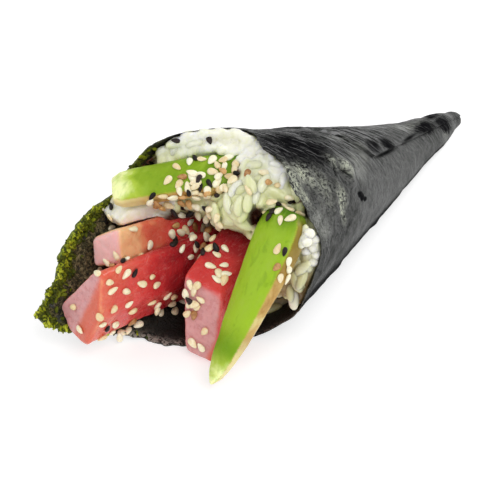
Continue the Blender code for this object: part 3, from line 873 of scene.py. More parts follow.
# %% Tuna material
def tuna_material():
    made, tree, shader, where = new_material("raw_tuna")
    cloud = noise_at(tree, where, 7 * MM, 4.0, 0.55, 0.5)
    fleck = noise_at(tree, where, 1.6 * MM, 4.0, 0.6)
    depth = calc(tree, "MULTIPLY", stored(tree, "from_end"), 1 / 30)
    depth = calc(tree, "ADD", depth, stored(tree, "red_and_painted_light"))
    depth = calc(tree, "ADD", depth, remap(tree, cloud, 0.3, 0.7, -0.10, 0.10))
    # Painted light and shade along the sides: a painted orange glow just behind the cut end, then the flesh's own
    # deep red, darkened further into the roll by painted shade.
    side = ramp(
        tree, depth, (0.0, (1.0, 0.60, 0.31)), (0.14, (0.84, 0.34, 0.17)), (0.23, (0.76, 0.15, 0.085)),
        (0.52, (0.70, 0.068, 0.058)), (0.80, (0.60, 0.040, 0.041)), (1.1, (0.36, 0.016, 0.022)),
    )
    pale_end = ramp(tree, fleck, (0.35, (0.58, 0.25, 0.25)), (0.65, (0.68, 0.35, 0.35)))
    # Painted light on the upper stick's cut end.
    pale_end = mix_colours(tree, stored(tree, "painted_end_light"), pale_end, (0.90, 0.52, 0.50))
    pale_end = mix_colours(tree, calc(tree, "MULTIPLY", stored(tree, "mauve"), 0.8), pale_end, (0.36, 0.15, 0.155))
    end = mix_colours(tree, stored(tree, "warm"), pale_end, (0.66, 0.13, 0.075))
    colour = mix_colours(tree, stored(tree, "cut_end"), side, end)
    swirl = vector_calc(tree, "MULTIPLY", where, (1.0, 0.35, 1.0))
    sinew = noise_at(tree, swirl, 2.6 * MM, 4.0, 0.5, 1.5)
    line = calc(tree, "ABSOLUTE", calc(tree, "SUBTRACT", sinew, 0.5))
    line = remap(tree, line, 0.0, 0.014, 0.3, 0.0)
    colour = mix_colours(tree, line, colour, (0.80, 0.36, 0.32))
    tree.links.new(colour, shader.inputs["Base Color"])
    shader.inputs["Subsurface Weight"].default_value = 0.3
    shader.inputs["Subsurface Radius"].default_value = (1.0, 0.22, 0.16)
    shader.inputs["Subsurface Scale"].default_value = 1.6 * MM
    shader.inputs["Specular IOR Level"].default_value = 0.35
    tree.links.new(remap(tree, fleck, 0.35, 0.7, 0.24, 0.42), shader.inputs["Roughness"])
    tree.links.new(bump(tree, fleck, 0.12 * MM), shader.inputs["Normal"])
    return made


tuna_flesh = tuna_material()
tuna_names = [n for n in sorted(frame["nodes"]) if n.startswith("tuna_")]
tuna_pieces = []
for number, name in enumerate(tuna_names):
    stick = tuna_stick(name, 7.0 * number)
    stick.data.materials.append(tuna_flesh)
    tuna_pieces.append(finish_piece(stick, "tuna", name))

# %% [markdown]
# ## Avocado slices
#
# Each slice is a wedge of a peeled fruit: the outer side, just under the skin, is dark green and fades
# through yellow-green to the stone side, which is buttery and turns tan where air has reached it.  The
# finish reads where a point is on the wedge: along it, and whether it belongs to the green back.

# %% Avocado shapes
TOWARDS_STONE = {"avocado_left": -MOUTH_UP, "avocado_right": MOUTH_ACROSS}
GREEN_RANGE = {"avocado_left": 1.0, "avocado_right": 0.80}      # how far the green deepens towards the top
BACKS = {"avocado_left": direction(0.10, 0.80, 0.60), "avocado_right": direction(-0.30, 0.45, 0.82)}


def avocado_slice(name, seed):
    wedge = remeshed(closed_copy(name, name + "_slice"), 0.35 * MM, 6)
    points, normals = points_of(wedge.data), normals_of(wedge.data)
    centre, axis = long_axis(points)
    along = (points - centre) @ axis
    along = GREEN_RANGE[name] * (along.max() - along) / (along.max() - along.min())
    back = BACKS[name] - axis * (BACKS[name] @ axis)
    back /= np.linalg.norm(back)
    facing = normals @ back
    waves = 0.15 * MM * soft_noise(points, 5 * MM, seed) + 0.05 * MM * soft_noise(points, 1.2 * MM, seed + 3)
    give(wedge.data, "along", along)
    # Painted light: the middle of the right slice is painted a lighter green.
    painted_light = ease(0.16, 0.30, along) * (1 - ease(0.66, 0.80, along)) if name == "avocado_right" else 0 * along
    give(wedge.data, "painted_light", painted_light)
    # The right slice's stone side darkens towards its inner end.
    give(wedge.data, "darker_inward", ease(0.45, 0.68, along) * (name == "avocado_right"))
    give(wedge.data, "deepened", bell(along - 0.17, 0.06) * (name == "avocado_right"))
    stone = TOWARDS_STONE[name]
    limit = 0.02 + 0.48 * ease(0.0, 0.5, normals @ stone)
    capped = 1 - ease(0.74, 0.80, along) * (name == "avocado_right")
    give(wedge.data, "stone_side", capped * (1 - ease(-0.08, 0.10, facing - limit)))
    give(wedge.data, "rim_line", capped * bell(facing - limit - 0.16, 0.12))
    move_points(wedge.data, points + normals * waves[:, None])
    return wedge


# %% Avocado material
def avocado_material():
    made, tree, shader, where = new_material("ripe_avocado")
    cloud = noise_at(tree, where, 5 * MM, 4.0, 0.55, 0.3)
    along = calc(tree, "ADD", stored(tree, "along"), calc(tree, "MULTIPLY", calc(tree, "SUBTRACT", cloud, 0.5), 0.35))
    green = ramp(
        tree, along, (0.03, (0.94, 1.0, 0.48)), (0.12, (0.46, 0.61, 0.065)), (0.22, (0.27, 0.42, 0.022)),
        (0.62, (0.22, 0.37, 0.014)), (0.90, (0.055, 0.17, 0.008)),
    )
    # Painted light on the right slice's middle.
    green = mix_colours(tree, calc(tree, "MULTIPLY", stored(tree, "painted_light"), 0.7), green, (0.38, 0.59, 0.03))
    streak = noise_at(tree, vector_calc(tree, "MULTIPLY", where, (1.0, 0.25, 0.6)), 2.2 * MM, 4.0, 0.6, 0.5)
    # Painted highlights of the flesh's gloss: lighter streaks along the slice, with darker streaks between.
    green = mix_colours(tree, remap(tree, streak, 0.50, 0.68, 0.0, 0.45), green, (0.36, 0.52, 0.05))
    green = mix_colours(tree, remap(tree, streak, 0.32, 0.46, 0.35, 0.0), green, (0.13, 0.27, 0.01))
    green = mix_colours(tree, calc(tree, "MULTIPLY", stored(tree, "deepened"), 0.9), green, (0.16, 0.32, 0.004))
    cut = ramp(tree, cloud, (0.38, (0.42, 0.22, 0.05)), (0.55, (0.60, 0.40, 0.13)), (0.68, (0.70, 0.58, 0.24)))
    cut = mix_colours(tree, calc(tree, "MULTIPLY", stored(tree, "darker_inward"), 0.8), cut, (0.22, 0.17, 0.02))
    cut = mix_colours(tree, remap(tree, along, 0.06, 0.28, 0.85, 0.0), cut, (0.88, 0.80, 0.40))
    rim_line = mix_colours(tree, calc(tree, "MULTIPLY", stored(tree, "rim_line"), 0.7), green, (0.52, 0.46, 0.06))
    colour = mix_colours(tree, stored(tree, "stone_side"), rim_line, cut)
    tree.links.new(colour, shader.inputs["Base Color"])
    shader.inputs["Subsurface Weight"].default_value = 0.3
    shader.inputs["Subsurface Radius"].default_value = (0.7, 1.0, 0.25)
    shader.inputs["Subsurface Scale"].default_value = 1.2 * MM
    shader.inputs["Specular IOR Level"].default_value = 0.15
    grain = noise_at(tree, where, 0.8 * MM, 4.0, 0.6)
    tree.links.new(remap(tree, grain, 0.35, 0.7, 0.30, 0.50), shader.inputs["Roughness"])
    tree.links.new(bump(tree, grain, 0.10 * MM), shader.inputs["Normal"])
    return made


avocado_flesh = avocado_material()
avocado_pieces = []
for number, name in enumerate(BACKS):
    wedge = avocado_slice(name, 40.0 + 7 * number)
    wedge.data.materials.append(avocado_flesh)
    avocado_pieces.append(finish_piece(wedge, "avocado", name))

# %% [markdown]
# ## Rice
#
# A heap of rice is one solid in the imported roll.  Here it becomes a slightly smaller core, pressed
# grains that melt into it, and loose grains laid over what shows.  Laying them one by one lets each
# grain keep a little clear of the fish, the avocado and the nori.

# %% Rice core
def faces_of(*objects):
    """The points and the faces of several pieces as if they were one."""
    points, polygons, start = [], [], 0
    for obj in objects:
        points += [v.co.copy() for v in obj.data.vertices]
        polygons += [tuple(start + i for i in p.vertices) for p in obj.data.polygons]
        start += len(obj.data.vertices)
    return points, polygons


def surface_tree(*objects):
    """One search tree over the faces of several pieces."""
    return BVHTree.FromPolygons(*faces_of(*objects))


nori_surface = surface_tree(nori)
filling_surface = surface_tree(*tuna_pieces, *avocado_pieces)


def gap_to(surface, point):
    return surface.find_nearest(Vector(point))[3]


CORE_DEPTH = 0.25 * MM


def mouth_view(points):
    """Distance across and up the mouth from its centre, in mm."""
    off = (np.asarray(points) - mouth_centre) / MM
    return off @ MOUTH_ACROSS, off @ MOUTH_UP


# Where the heap lies deeper than its imported shape, and painted shade darkens it: across, up, reach across, reach
# up, depth in mm.
BARE_PLACES = (
    (-7.6, 4.4, 7.0, 3.0, 7.0),
    (4.4, 14.8, 2.0, 2.2, 3.0),
    (-16.4, 18.7, 3.9, 4.4, 8.0),
    (9.4, 5.0, 2.2, 3.2, 8.0),
    (3.6, 1.0, 4.0, 1.9, 6.0),
    (21.2, 6.6, 1.6, 2.6, 5.0),
    (17.8, 8.8, 2.4, 1.0, 3.0),
)


def bare_amount(points):
    """How bare a place is, from 0 to 1, and how deep the heap's surface lies there."""
    across, up = mouth_view(points)
    amount, deep = np.zeros_like(across), np.zeros_like(across)
    for at_across, at_up, reach_across, reach_up, depth in BARE_PLACES:
        here = bell(np.hypot((across - at_across) / reach_across, (up - at_up) / reach_up), 1.0)
        amount = np.maximum(amount, here)
        deep = np.maximum(deep, here * depth * MM)
    return amount, deep


core = remeshed(closed_copy("rice", "bare_heap"), 0.6 * MM, 4)
points, normals = points_of(core.data), normals_of(core.data)
shown = np.array([ease(0.8 * MM, 2.4 * MM, gap_to(nori_surface, p)) for p in points])
relief = 0.3 * MM * soft_noise(points, 2.2 * MM, 11.0)
bare, deep = bare_amount(points)
deep *= ease(0.0, 0.4, normals @ MOUTH_OUT) * ease(-14 * MM, -8 * MM, (points - mouth_centre) @ MOUTH_OUT)
for index in np.flatnonzero(deep > 0.05 * MM):
    wall = nori_surface.ray_cast(Vector(points[index]), Vector(-MOUTH_OUT), deep[index] + 1.0 * MM)
    if wall[0] is not None:
        deep[index] = max(0.0, wall[3] - 1.0 * MM)
moved = points + normals * (shown * (relief - CORE_DEPTH))[:, None] - MOUTH_OUT * deep[:, None]
move_points(core.data, moved)


# %% Rice material
def rice_material():
    made, tree, shader, where = new_material("cooked_rice")
    tint = stored(tree, "tint")
    colour = ramp(
        tree, tint, (0.0, (0.68, 0.70, 0.36)), (0.5, (0.76, 0.78, 0.49)), (0.85, (0.95, 0.96, 0.88)),
        (1.0, (0.84, 0.74, 0.42)),
    )
    cloud = noise_at(tree, where, 1.1 * MM, 3.0, 0.5)
    patch = noise_at(tree, where, 6 * MM, 2.0, 0.5)
    colour = mix_colours(tree, remap(tree, cloud, 0.4, 0.7, 0.0, 0.3), colour, (0.66, 0.70, 0.32))
    colour = mix_colours(tree, remap(tree, patch, 0.48, 0.68, 0.0, 0.35), colour, (0.96, 0.96, 0.88))
    colour = mix_colours(tree, stored(tree, "brown_low_right"), colour, (0.26, 0.17, 0.07))
    # Painted shade: the bare hollows by the filling are painted dark red-brown.
    colour = mix_colours(tree, stored(tree, "gap"), colour, (0.10, 0.025, 0.015))
    tree.links.new(colour, shader.inputs["Base Color"])
    shader.inputs["Subsurface Weight"].default_value = 0.6
    shader.inputs["Subsurface Radius"].default_value = (1.0, 1.0, 0.7)
    shader.inputs["Subsurface Scale"].default_value = 2.0 * MM
    tree.links.new(remap(tree, cloud, 0.35, 0.7, 0.26, 0.45), shader.inputs["Roughness"])
    tree.links.new(bump(tree, cloud, 0.10 * MM), shader.inputs["Normal"])
    return made


def brown_low_right_amount(points):
    """How brown a place is: the low right of the heap is brownish."""
    across, up = mouth_view(points)
    return bell(np.hypot((across - 18.5) / 6.0, (up + 12.0) / 8.0), 1.0)


def rice_tint(points):
    """Creamy over most of the heap, whiter at the upper right, the top and the blob at the right, and white in the
    smooth patch at the left, where painted light stands against the avocado's shadow.
    """
    across, up = mouth_view(points)
    tint = 0.26 + 0.34 * soft_noise(points, 3.5 * MM, 21.0)
    tint += 0.50 * ease(-1, 14, 0.6 * across + 0.8 * (up - 10)) * ease(9, 15, up)
    tint += 0.28 * ease(16, 21, up)
    # Painted light: the smooth patch at the left, shaded by the avocado, is painted white.
    tint = np.where((across < -9) & (up < 9.5), 0.86, tint)
    tint = np.maximum(tint, 0.88 * bell(np.hypot((across - 21) / 4.0, (up + 1) / 5.0), 1.0))
    return np.clip(tint, 0.05, 0.88)


rice_white = rice_material()
print("core points that show:", int((shown > 0.5).sum()))

# %% [markdown]
# ## Laying small things
#
# Rice grains and sesame seeds are both little rounded bodies laid on a surface, so one tree makes both:
# it shapes a ball into a grain by its named length, width, thickness, taper and bend, sets one on each
# given point, turns it by the point's own directions, and makes the copies real.

# %% The laying tree
def laying_tree():
    tree, given, result = new_shape_tree(
        "lay_grains", Length=0.005, Width=0.002, Thickness=0.002, Taper=0.1, Bend=0.1,
        Segments=12, Rings=8, Material=None,
    )
    take = given.outputs
    ball = add_node(tree, "GeometryNodeMeshUVSphere", {"Radius": 0.5})
    tree.links.new(take["Segments"], ball.inputs["Segments"])
    tree.links.new(take["Rings"], ball.inputs["Rings"])
    # The ball's poles become the grain's two tips, on its X axis.
    turned = add_node(
        tree, "GeometryNodeTransform", {"Geometry": ball.outputs[0], "Rotation": (0.0, math.pi / 2, 0.0)}
    )
    here = add_node(tree, "ShaderNodeSeparateXYZ", {0: add_node(tree, "GeometryNodeInputPosition").outputs[0]})
    x, y, z = here.outputs
    narrow = calc(tree, "SUBTRACT", 1.0, calc(tree, "MULTIPLY", calc(tree, "MULTIPLY", x, 2.0), take["Taper"]))
    arch = calc(tree, "MULTIPLY", calc(tree, "MULTIPLY", x, x), take["Bend"])
    wide = calc(tree, "MULTIPLY", calc(tree, "SUBTRACT", calc(tree, "MULTIPLY", y, narrow), arch), take["Width"])
    thick = calc(tree, "MULTIPLY", calc(tree, "MULTIPLY", z, narrow), take["Thickness"])
    long = calc(tree, "MULTIPLY", x, take["Length"])
    shaped = add_node(tree, "ShaderNodeCombineXYZ", {0: long, 1: wide, 2: thick}).outputs[0]
    grain = add_node(tree, "GeometryNodeSetPosition", {"Geometry": turned.outputs[0], "Position": shaped})
    spots = add_node(tree, "GeometryNodeMeshToPoints", {"Mesh": take["Geometry"], "Radius": 0.0001})
    turn = add_node(
        tree, "FunctionNodeAxesToRotation",
        {0: named(tree, "face", "FLOAT_VECTOR"), 1: named(tree, "lie", "FLOAT_VECTOR")},
        primary_axis="Z", secondary_axis="X",
    )
    laid = add_node(
        tree, "GeometryNodeInstanceOnPoints",
        {"Points": spots.outputs[0], "Instance": grain.outputs[0], "Rotation": turn.outputs[0]},
    )
    tree.links.new(named(tree, "stretch", "FLOAT_VECTOR"), laid.inputs["Scale"])
    whole = add_node(tree, "GeometryNodeRealizeInstances", {"Geometry": laid.outputs[0]})
    dressed = add_node(tree, "GeometryNodeSetMaterial", {"Geometry": whole.outputs[0]})
    tree.links.new(take["Material"], dressed.inputs["Material"])
    tree.links.new(dressed.outputs[0], result.inputs[0])
    return tree


grain_tree = laying_tree()


def tangent_turn(normal, angle):
    """A direction square to the normal, turned by the angle."""
    first = np.cross(normal, (0.3, 0.5, 0.81))
    first /= np.linalg.norm(first)
    return first * math.cos(angle) + np.cross(normal, first) * math.sin(angle)


def lay(name, spots, brown_low_right=None, **sizes):
    """Lays a grain on every spot: (point, face normal, lengthwise direction, size, tint)."""
    piece = add_piece(name, [s[0] for s in spots])
    give(piece.data, "face", [s[1] for s in spots])
    give(piece.data, "lie", [s[2] for s in spots])
    give(piece.data, "stretch", [s[3] for s in spots])
    give(piece.data, "tint", [s[4] for s in spots])
    if brown_low_right is not None:
        give(piece.data, "brown_low_right", brown_low_right)
    return run_tree(piece, grain_tree, **sizes)


# %% [markdown]
# The flap's edge is frayed: the felt of the sheet breaks up into small curled flakes.  They are laid
# thickly at the edge and thin out over the inner side.

# %% Frayed seaweed
rng = np.random.default_rng(12)


def frayed_material():
    made, tree, shader, where = new_material("frayed_nori")
    mottle = noise_at(tree, where, 0.8 * MM, 3.0, 0.6)
    shade = calc(tree, "ADD", calc(tree, "MULTIPLY", stored(tree, "tint"), 0.7), calc(tree, "MULTIPLY", mottle, 0.3))
    colour = ramp(
        tree, shade, (0.1, (0.025, 0.038, 0.006)), (0.45, (0.095, 0.115, 0.006)), (0.70, (0.33, 0.38, 0.014)),
        (0.92, (0.72, 0.76, 0.08)),
    )
    tree.links.new(colour, shader.inputs["Base Color"])
    tree.links.new(remap(tree, mottle, 0.3, 0.7, 0.45, 0.70), shader.inputs["Roughness"])
    shader.inputs["Specular IOR Level"].default_value = 0.2
    tree.links.new(bump(tree, mottle, 0.10 * MM), shader.inputs["Normal"])
    return made


FLAKES = 1100
skin, skin_normals = points_of(nori.data), normals_of(nori.data)
chance = inside * on_flap * bell(rim_gap, 3.4 * MM)
flakes = []
for index in rng.choice(len(skin), size=FLAKES, p=chance / chance.sum()):
    face = skin_normals[index] + rng.normal(0, 0.6, 3)
    face /= np.linalg.norm(face)
    point = skin[index] + skin_normals[index] * rng.uniform(0.0, 0.45) * MM
    size = rng.uniform(0.5, 1.25)
    brightness = rng.random() * (0.55 + 0.45 * bell(rim_gap[index], 2.2 * MM))
    flakes.append((point, face, tangent_turn(face, rng.uniform(0, math.tau)), (size, size, size), brightness))
fray = lay(
    "nori_fray", flakes, Length=1.5 * MM, Width=0.9 * MM, Thickness=0.28 * MM, Taper=0.3, Bend=0.8,
    Segments=6, Rings=5, Material=frayed_material(),
)
finish_piece(fray, "nori")

# %% [markdown]
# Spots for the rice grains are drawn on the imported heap's surface.  A spot stays only where the heap is
# open: clear of the nori's inside and of the filling.  The first, close coat is then melted into the
# core, because cooked grains that are pressed together stick.

# %% Rice grains
GRAIN_LENGTH = 4.6 * MM
GRAIN_WIDTH = 2.35 * MM


def stays_clear(centre, lie):
    """Whether a grain's two tips stay on the rice's side of the nori and out of the filling."""
    for way in (-1, 1):
        reach = Vector(lie * way)
        for surface, margin in ((nori_surface, 0.5 * MM), (filling_surface, 0.1 * MM)):
            if surface.ray_cast(Vector(centre), reach, GRAIN_LENGTH / 2 + margin)[0] is not None:
                return False
    return True


def heap_spots(count, spacing, lift, tilt, furthest_left):
    """Random spots on the heap's open surface, at least a spacing apart."""
    heap = closed_copy("rice", "heap_guide")
    heap.data.calc_loop_triangles()
    triangles = np.array([t.vertices[:] for t in heap.data.loop_triangles])
    corners = points_of(heap.data)[triangles]
    cross = np.cross(corners[:, 1] - corners[:, 0], corners[:, 2] - corners[:, 0])
    areas = np.linalg.norm(cross, axis=1)
    spots, chosen = [], np.zeros((0, 3))
    for index in rng.choice(len(triangles), size=count, p=areas / areas.sum()):
        a, b = sorted(rng.random(2))
        point = corners[index][0] * a + corners[index][1] * (b - a) + corners[index][2] * (1 - b)
        normal = cross[index] / areas[index]
        if gap_to(nori_surface, point) < 1.0 * MM:
            continue
        across, up = mouth_view(point)
        if across < furthest_left or (across < -9 and up < 9.5) or bare_amount(point)[0] > 0.3:
            continue
        raised = point + normal * (lift + 0.3 * MM * noise.noise(Vector(point) / (4 * MM)))
        if gap_to(filling_surface, raised) < 0.9 * MM:
            continue
        if len(chosen) and np.min(np.linalg.norm(chosen - raised, axis=1)) < spacing:
            continue
        for attempt in range(6):
            lie = tangent_turn(normal, rng.uniform(0, math.tau)) + normal * rng.uniform(-tilt, tilt)
            if stays_clear(raised, lie / np.linalg.norm(lie)):
                break
        else:
            continue
        chosen = np.vstack([chosen, raised])
        size = rng.uniform(0.86, 1.12)
        stretch = (size, size * rng.uniform(0.9, 1.1), size * rng.uniform(0.9, 1.1))
        spots.append((raised, normal, lie, stretch, rng.random()))
    bpy.data.objects.remove(heap)
    return spots


SHAPE = {"Length": GRAIN_LENGTH, "Width": GRAIN_WIDTH, "Thickness": 2.2 * MM, "Taper": 0.12, "Bend": 0.35}
pressed = heap_spots(14000, 2.1 * MM, -0.5 * MM, 0.3, -100)
# Grains pressed on one by one: where the heap is hit, across and up, then how far up and out the grain
# goes from there, degrees from upright.  They close the gap under the rim and overlap the filling.
PRESSED_ON = (
    (-9.0, 21.0, 0.8, 0.5, 80), (-5.6, 22.0, 1.7, 0.3, 85), (-2.2, 22.4, 1.7, 0.3, 90), (1.2, 22.6, 1.7, 0.3, 95),
    (4.6, 22.4, 1.8, 0.3, 95), (7.8, 21.6, 1.0, 0.2, 100), (-7.4, 21.4, 0.9, 0.4, 80), (-0.4, 22.4, 1.6, 0.2, 90),
    (3.2, 22.4, 1.6, 0.2, 90), (6.4, 22.0, 1.4, 0.2, 100),
    (2.4, 20.4, 0.0, 0.4, 75), (4.4, 19.6, 0.0, 0.5, 60), (6.2, 18.4, 0.0, 0.5, 40), (6.9, 16.4, 0.0, 0.5, 10),
    (6.0, 20.6, 0.0, 0.7, 65), (7.6, 19.8, 0.0, 0.6, 45),
    (20.2, 1.4, 0.0, 0.9, -15), (21.6, 1.0, 0.0, 0.9, 20), (22.0, -1.0, 0.0, 0.7, 0), (20.8, -1.2, 0.0, 1.1, 40),
    (21.6, -3.4, 0.0, 0.6, 10), (20.4, -3.8, 0.0, 1.0, 10), (20.6, -5.6, 0.0, 0.5, 20), (19.6, 0.0, 0.0, 0.9, 30),
)
packed_surface = surface_tree(core, nori, *tuna_pieces, *avocado_pieces)
for across, up, raise_by, lift, lean in PRESSED_ON:
    start = mouth_centre + (MOUTH_ACROSS * across + MOUTH_UP * up) * MM + MOUTH_OUT * 60 * MM
    hit = packed_surface.ray_cast(Vector(start), Vector(-MOUTH_OUT))[0]
    spot = np.array(hit) + (MOUTH_UP * raise_by + MOUTH_OUT * lift) * MM
    lie = MOUTH_UP * math.cos(math.radians(lean)) + MOUTH_ACROSS * math.sin(math.radians(lean))
    pressed.append((spot, MOUTH_OUT, lie, (0.95, 0.95, 0.95), 0.5))
first_coat = lay("first_coat", pressed, Segments=12, Rings=10, Material=rice_white, **SHAPE)
# Pressed together, the lower grains stick: their outlines melt into one lumpy surface.
bare_core = core
core = remeshed(add_piece("rice_core", *faces_of(bare_core, first_coat)), 0.38 * MM, 2)
for spare in (bare_core, first_coat):
    bpy.data.objects.remove(spare)
points = points_of(core.data)
give(core.data, "tint", rice_tint(points))
give(core.data, "brown_low_right", np.clip(1.2 * brown_low_right_amount(points), 0, 1))
# Painted shade in the bare hollows.
give(core.data, "gap", ease(0.35, 0.8, bare_amount(points)[0]))
core.data.materials.clear()
core.data.materials.append(rice_white)
finish_piece(core, "rice", "rice")
print("pressed grains:", len(pressed))

# %% [markdown]
# A sparser coat of whole grains lies on the pressed ones, because a heap is never level.  The grains at
# the front, where the eye goes first, are placed one by one: some flat, some pointing straight out.

# %% Loose rice grains
spots = heap_spots(5000, 4.0 * MM, -0.35 * MM, 0.4, -100)
print("loose grains:", len(spots))
like_heap = rice_tint([s[0] for s in spots])
spots = [
    (*s[:4], float(np.clip(shade + 0.35 * (s[4] - 0.5), 0.02, 0.95))) for s, shade in zip(spots, like_heap)
]
# Grains that stand out of the heap's front: across, up, degrees from upright, tint.
LOOSE_GRAINS = (
    (3.4, 8.2, -12, 0.6), (5.3, 7.6, 4, 0.5), (7.3, 8.4, 12, 0.4), (9.6, 10.0, -8, 0.6), (5.0, 11.4, 35, 0.7),
    (8.0, 12.0, -20, 0.4), (10.8, 12.4, 30, 0.6), (0.6, 6.4, 30, 0.4), (19.8, -6.2, 60, 0.6),
    (18.4, -9.2, -20, 0.4), (19.4, -8.8, 25, 0.4), (16.6, -11.4, 15, 0.4), (15.2, -14.6, 60, 0.6),
    (17.8, -13.0, 10, 0.88), (13.2, -16.0, 70, 0.2),
)
# Grains that point out of the mouth, so only their round tips show: across, up, tint.
END_ON = (
    (20.8, 1.4, 0.88), (22.2, 0.2, 0.88), (20.2, -0.4, 0.88), (21.6, -1.8, 0.88), (22.4, -3.4, 0.88),
    (20.4, -2.4, 0.85), (21.8, -4.8, 0.88), (20.6, -6.2, 0.6),
)
heap_surface = surface_tree(core, nori, *tuna_pieces, *avocado_pieces)
for across, up, lean, tint in LOOSE_GRAINS:
    start = mouth_centre + (MOUTH_ACROSS * across + MOUTH_UP * up) * MM + MOUTH_OUT * 60 * MM
    hit, normal, _, _ = heap_surface.ray_cast(Vector(start), Vector(-MOUTH_OUT))
    if hit is None:
        continue
    lie = MOUTH_UP * math.cos(math.radians(lean)) + MOUTH_ACROSS * math.sin(math.radians(lean))
    normal = np.array(normal)
    lie -= normal * (lie @ normal)
    spots.append((np.array(hit) + normal * 0.5 * MM, normal, lie, (1.08, 1.02, 0.95), tint))
for across, up, tint in END_ON:
    start = mouth_centre + (MOUTH_ACROSS * across + MOUTH_UP * up) * MM + MOUTH_OUT * 60 * MM
    hit = heap_surface.ray_cast(Vector(start), Vector(-MOUTH_OUT))[0]
    lie = MOUTH_OUT + 0.25 * MOUTH_UP - 0.2 * MOUTH_ACROSS
    spots.append((np.array(hit) - MOUTH_OUT * 1.0 * MM, MOUTH_UP, lie, (0.8, 1.1, 1.1), tint))
grains = lay(
    "rice_grains", spots, brown_low_right=0.35 * brown_low_right_amount([s[0] for s in spots]),
    Segments=12, Rings=10, Material=rice_white, **SHAPE,
)
finish_piece(grains, "rice")

# %% [markdown]
# ## Sesame
#
# Seeds are shaken on from the front and above, and stay where they first touch something sticky.  So
# each seed is a ray that falls from that side onto the finished pieces.  Handfuls are given by where
# they fall, across and up from the mouth's centre, with their spread and how many seeds of each kind.

# %% Sesame materials
def seed_material(name, dark, light, roughness):
    made, tree, shader, where = new_material(name)
    speckle = noise_at(tree, where, 0.7 * MM, 3.0, 0.6)
    shade = calc(tree, "ADD", calc(tree, "MULTIPLY", speckle, 0.6), calc(tree, "MULTIPLY", stored(tree, "tint"), 0.4))
    tree.links.new(ramp(tree, shade, (0.3, dark), (0.7, light)), shader.inputs["Base Color"])
    tree.links.new(remap(tree, speckle, 0.3, 0.7, roughness, roughness + 0.15), shader.inputs["Roughness"])
    tree.links.new(bump(tree, speckle, 0.08 * MM), shader.inputs["Normal"])
    shader.inputs["Specular IOR Level"].default_value = 0.25 if name == "black_sesame" else 0.5
    shader.inputs["Subsurface Weight"].default_value = 0.15
    shader.inputs["Subsurface Radius"].default_value = (1.0, 0.8, 0.5)
    shader.inputs["Subsurface Scale"].default_value = 0.6 * MM
    return made


SEED_KINDS = {
    "white": seed_material("white_sesame", (0.82, 0.64, 0.34), (0.99, 0.96, 0.74), 0.35),
    "toasted": seed_material("toasted_sesame", (0.34, 0.14, 0.04), (0.76, 0.46, 0.18), 0.35),
    "black": seed_material("black_sesame", (0.006, 0.005, 0.005), (0.035, 0.022, 0.020), 0.40),
}

# %% Sesame seeds
# Length, width and thickness of each kind.
SEED_SIZES = {
    "white": (2.6 * MM, 1.6 * MM, 0.9 * MM),
    "toasted": (2.4 * MM, 1.5 * MM, 0.9 * MM),
    "black": (2.5 * MM, 1.3 * MM, 0.8 * MM),
}
# Across, up, spread across, spread up (mm), white, toasted, black.
HANDFULS = (
    (-3, 14.5, 8.0, 4.4, 13, 1, 3),
    (-3, 12.5, 6.0, 2.8, 13, 1, 4),
    (2.5, 15.5, 3.2, 3.0, 6, 1, 1),
    (-11, 9.2, 4.6, 1.3, 4, 5, 1),
    (-4.5, 2.5, 5.8, 6.5, 27, 5, 8),
    (-19, -1, 4.5, 4.0, 4, 0, 1),
    (-22, -6.2, 5.0, 2.2, 6, 3, 1),
    (-18, -9.4, 6.0, 3.2, 6, 0, 0),
    (-21.5, -17, 5.5, 5.0, 9, 1, 1),
    (-30.5, -17, 2.0, 4.0, 2, 0, 0),
    (-12, -14.8, 4.2, 3.4, 9, 0, 0),
    (-4.7, -13.5, 1.8, 4.2, 9, 1, 1),
    (-3.8, -21, 2.0, 3.4, 3, 0, 0),
    (0.5, -5.0, 3.0, 5.0, 8, 0, 1),
    (15.2, 6.4, 4.0, 3.2, 10, 0, 4),
    (14.8, -5.0, 1.6, 4.6, 5, 1, 1),
    (-24.4, 5.8, 1.2, 3.2, 3, 0, 2),
    (10.5, 13, 4.6, 3.4, 3, 2, 0),
    (-2, 22.0, 6.8, 1.3, 0, 0, 2),
    (-22.5, -21.5, 3.0, 1.0, 3, 0, 0),
)
landing = surface_tree(nori, core, grains, *tuna_pieces, *avocado_pieces)
fallen = {kind: [] for kind in SEED_KINDS}
landed = np.zeros((0, 3))
for across, up, spread_across, spread_up, *counts in HANDFULS:
    for kind, count in zip(("white", "toasted", "black"), counts):
        for _ in range(count):
            # Of several throws the one that lands furthest from the others is kept.
            best_gap, hit, normal = 0.0, None, None
            for throw in range(7):
                angle, reach = rng.uniform(0, math.tau), math.sqrt(rng.random())
                right = across + spread_across * reach * math.cos(angle)
                above = up + spread_up * reach * math.sin(angle)
                start = mouth_centre + MOUTH_ACROSS * right * MM + MOUTH_UP * above * MM + MOUTH_OUT * 60 * MM
                found, facing, _, _ = landing.ray_cast(Vector(start), Vector(-MOUTH_OUT))
                if found is None:
                    continue
                gap = np.linalg.norm(landed - np.array(found), axis=1).min() if len(landed) else 1.0
                if gap > best_gap:
                    best_gap, hit, normal = gap, found, facing
            if hit is None:
                continue
            normal = np.array(normal)
            if normal @ MOUTH_OUT < 0:
                normal = -normal
            piled = best_gap < 1.6 * MM
            face = normal + rng.normal(0, 0.35 if piled else 0.12, 3)
            face /= np.linalg.norm(face)
            point = np.array(hit) + normal * (1.0 * MM if piled else 0.32 * MM)
            landed = np.vstack([landed, point])
            size = rng.uniform(0.85, 1.1)
            stretch = (size, size * rng.uniform(0.88, 1.08), size * rng.uniform(0.9, 1.2))
            fallen[kind].append((point, face, tangent_turn(face, rng.uniform(0, math.tau)), stretch, rng.random()))
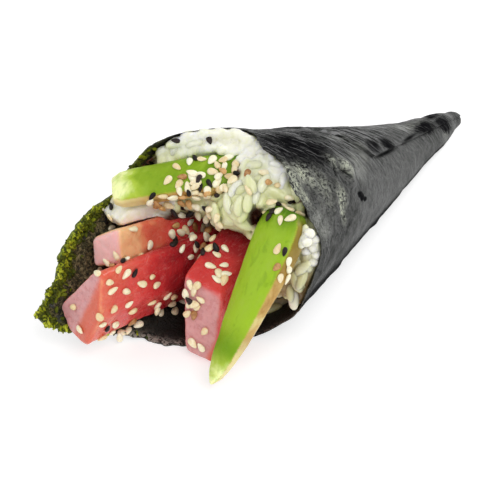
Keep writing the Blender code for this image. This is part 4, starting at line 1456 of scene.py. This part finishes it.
for kind, spots in fallen.items():
    length, width, thickness = SEED_SIZES[kind]
    seeds = lay(
        kind + "_sesame_seeds", spots, Length=length, Width=width, Thickness=thickness,
        Taper=0.34, Bend=0.0, Segments=12, Rings=8, Material=SEED_KINDS[kind],
    )
    finish_piece(seeds, None)
    print(kind, "seeds:", len(spots))

# %% [markdown]
# ## Floor and light
#
# The roll lies on a plain white table.  A wide soft light from behind and above draws the sheen of the
# nori, and a weaker one from the front left keeps the cut ends clear.

# %% Floor and lights
FLOOR_SIZE = 3.0
floor = add_piece(
    "table_top",
    [(x * FLOOR_SIZE, y * FLOOR_SIZE, -0.05 * MM) for x, y in ((-1, -1), (1, -1), (1, 1), (-1, 1))],
    [(0, 1, 2, 3)],
)
table_white, table_tree, table_shader, table_where = new_material("white_table")
faint = noise_at(table_tree, table_where, 0.4, 2.0)
table_tree.links.new(
    ramp(table_tree, faint, (0.3, (0.49, 0.49, 0.49)), (0.7, (0.51, 0.51, 0.51))), table_shader.inputs["Base Color"]
)
table_shader.inputs["Roughness"].default_value = 0.7
table_shader.inputs["Emission Color"].default_value = (1.0, 1.0, 1.0, 1.0)
table_shader.inputs["Emission Strength"].default_value = 0.62
floor.data.materials.append(table_white)


def soft_light(name, towards, distance, size, power):
    """A square soft light that shines at the roll from the given direction."""
    light = bpy.data.objects.new(name, bpy.data.lights.new(name, "AREA"))
    bpy.context.scene.collection.objects.link(light)
    light.data.shape = "SQUARE"
    light.data.size = size
    light.data.energy = power
    towards = Vector(towards).normalized()
    light.location = Vector(apex + LOOK_AT) + towards * distance
    light.rotation_mode = "QUATERNION"
    light.rotation_quaternion = towards.to_track_quat("Z", "Y")


soft_light("window_right", (0.55, -0.35, 0.75), 0.9, 0.5, 4.0)
soft_light("window_behind", (0.15, 0.80, 0.50), 1.0, 0.45, 5.0)
soft_light("front_left", (-0.6, -0.5, 0.6), 1.1, 0.8, 3.0)
world = bpy.data.worlds.new("bright_room")
world.use_nodes = True
world.node_tree.nodes["Background"].inputs["Color"].default_value = (1.0, 1.0, 1.0, 1.0)
world.node_tree.nodes["Background"].inputs["Strength"].default_value = 0.40
bpy.context.scene.world = world
bpy.context.scene.view_settings.view_transform = "Standard"
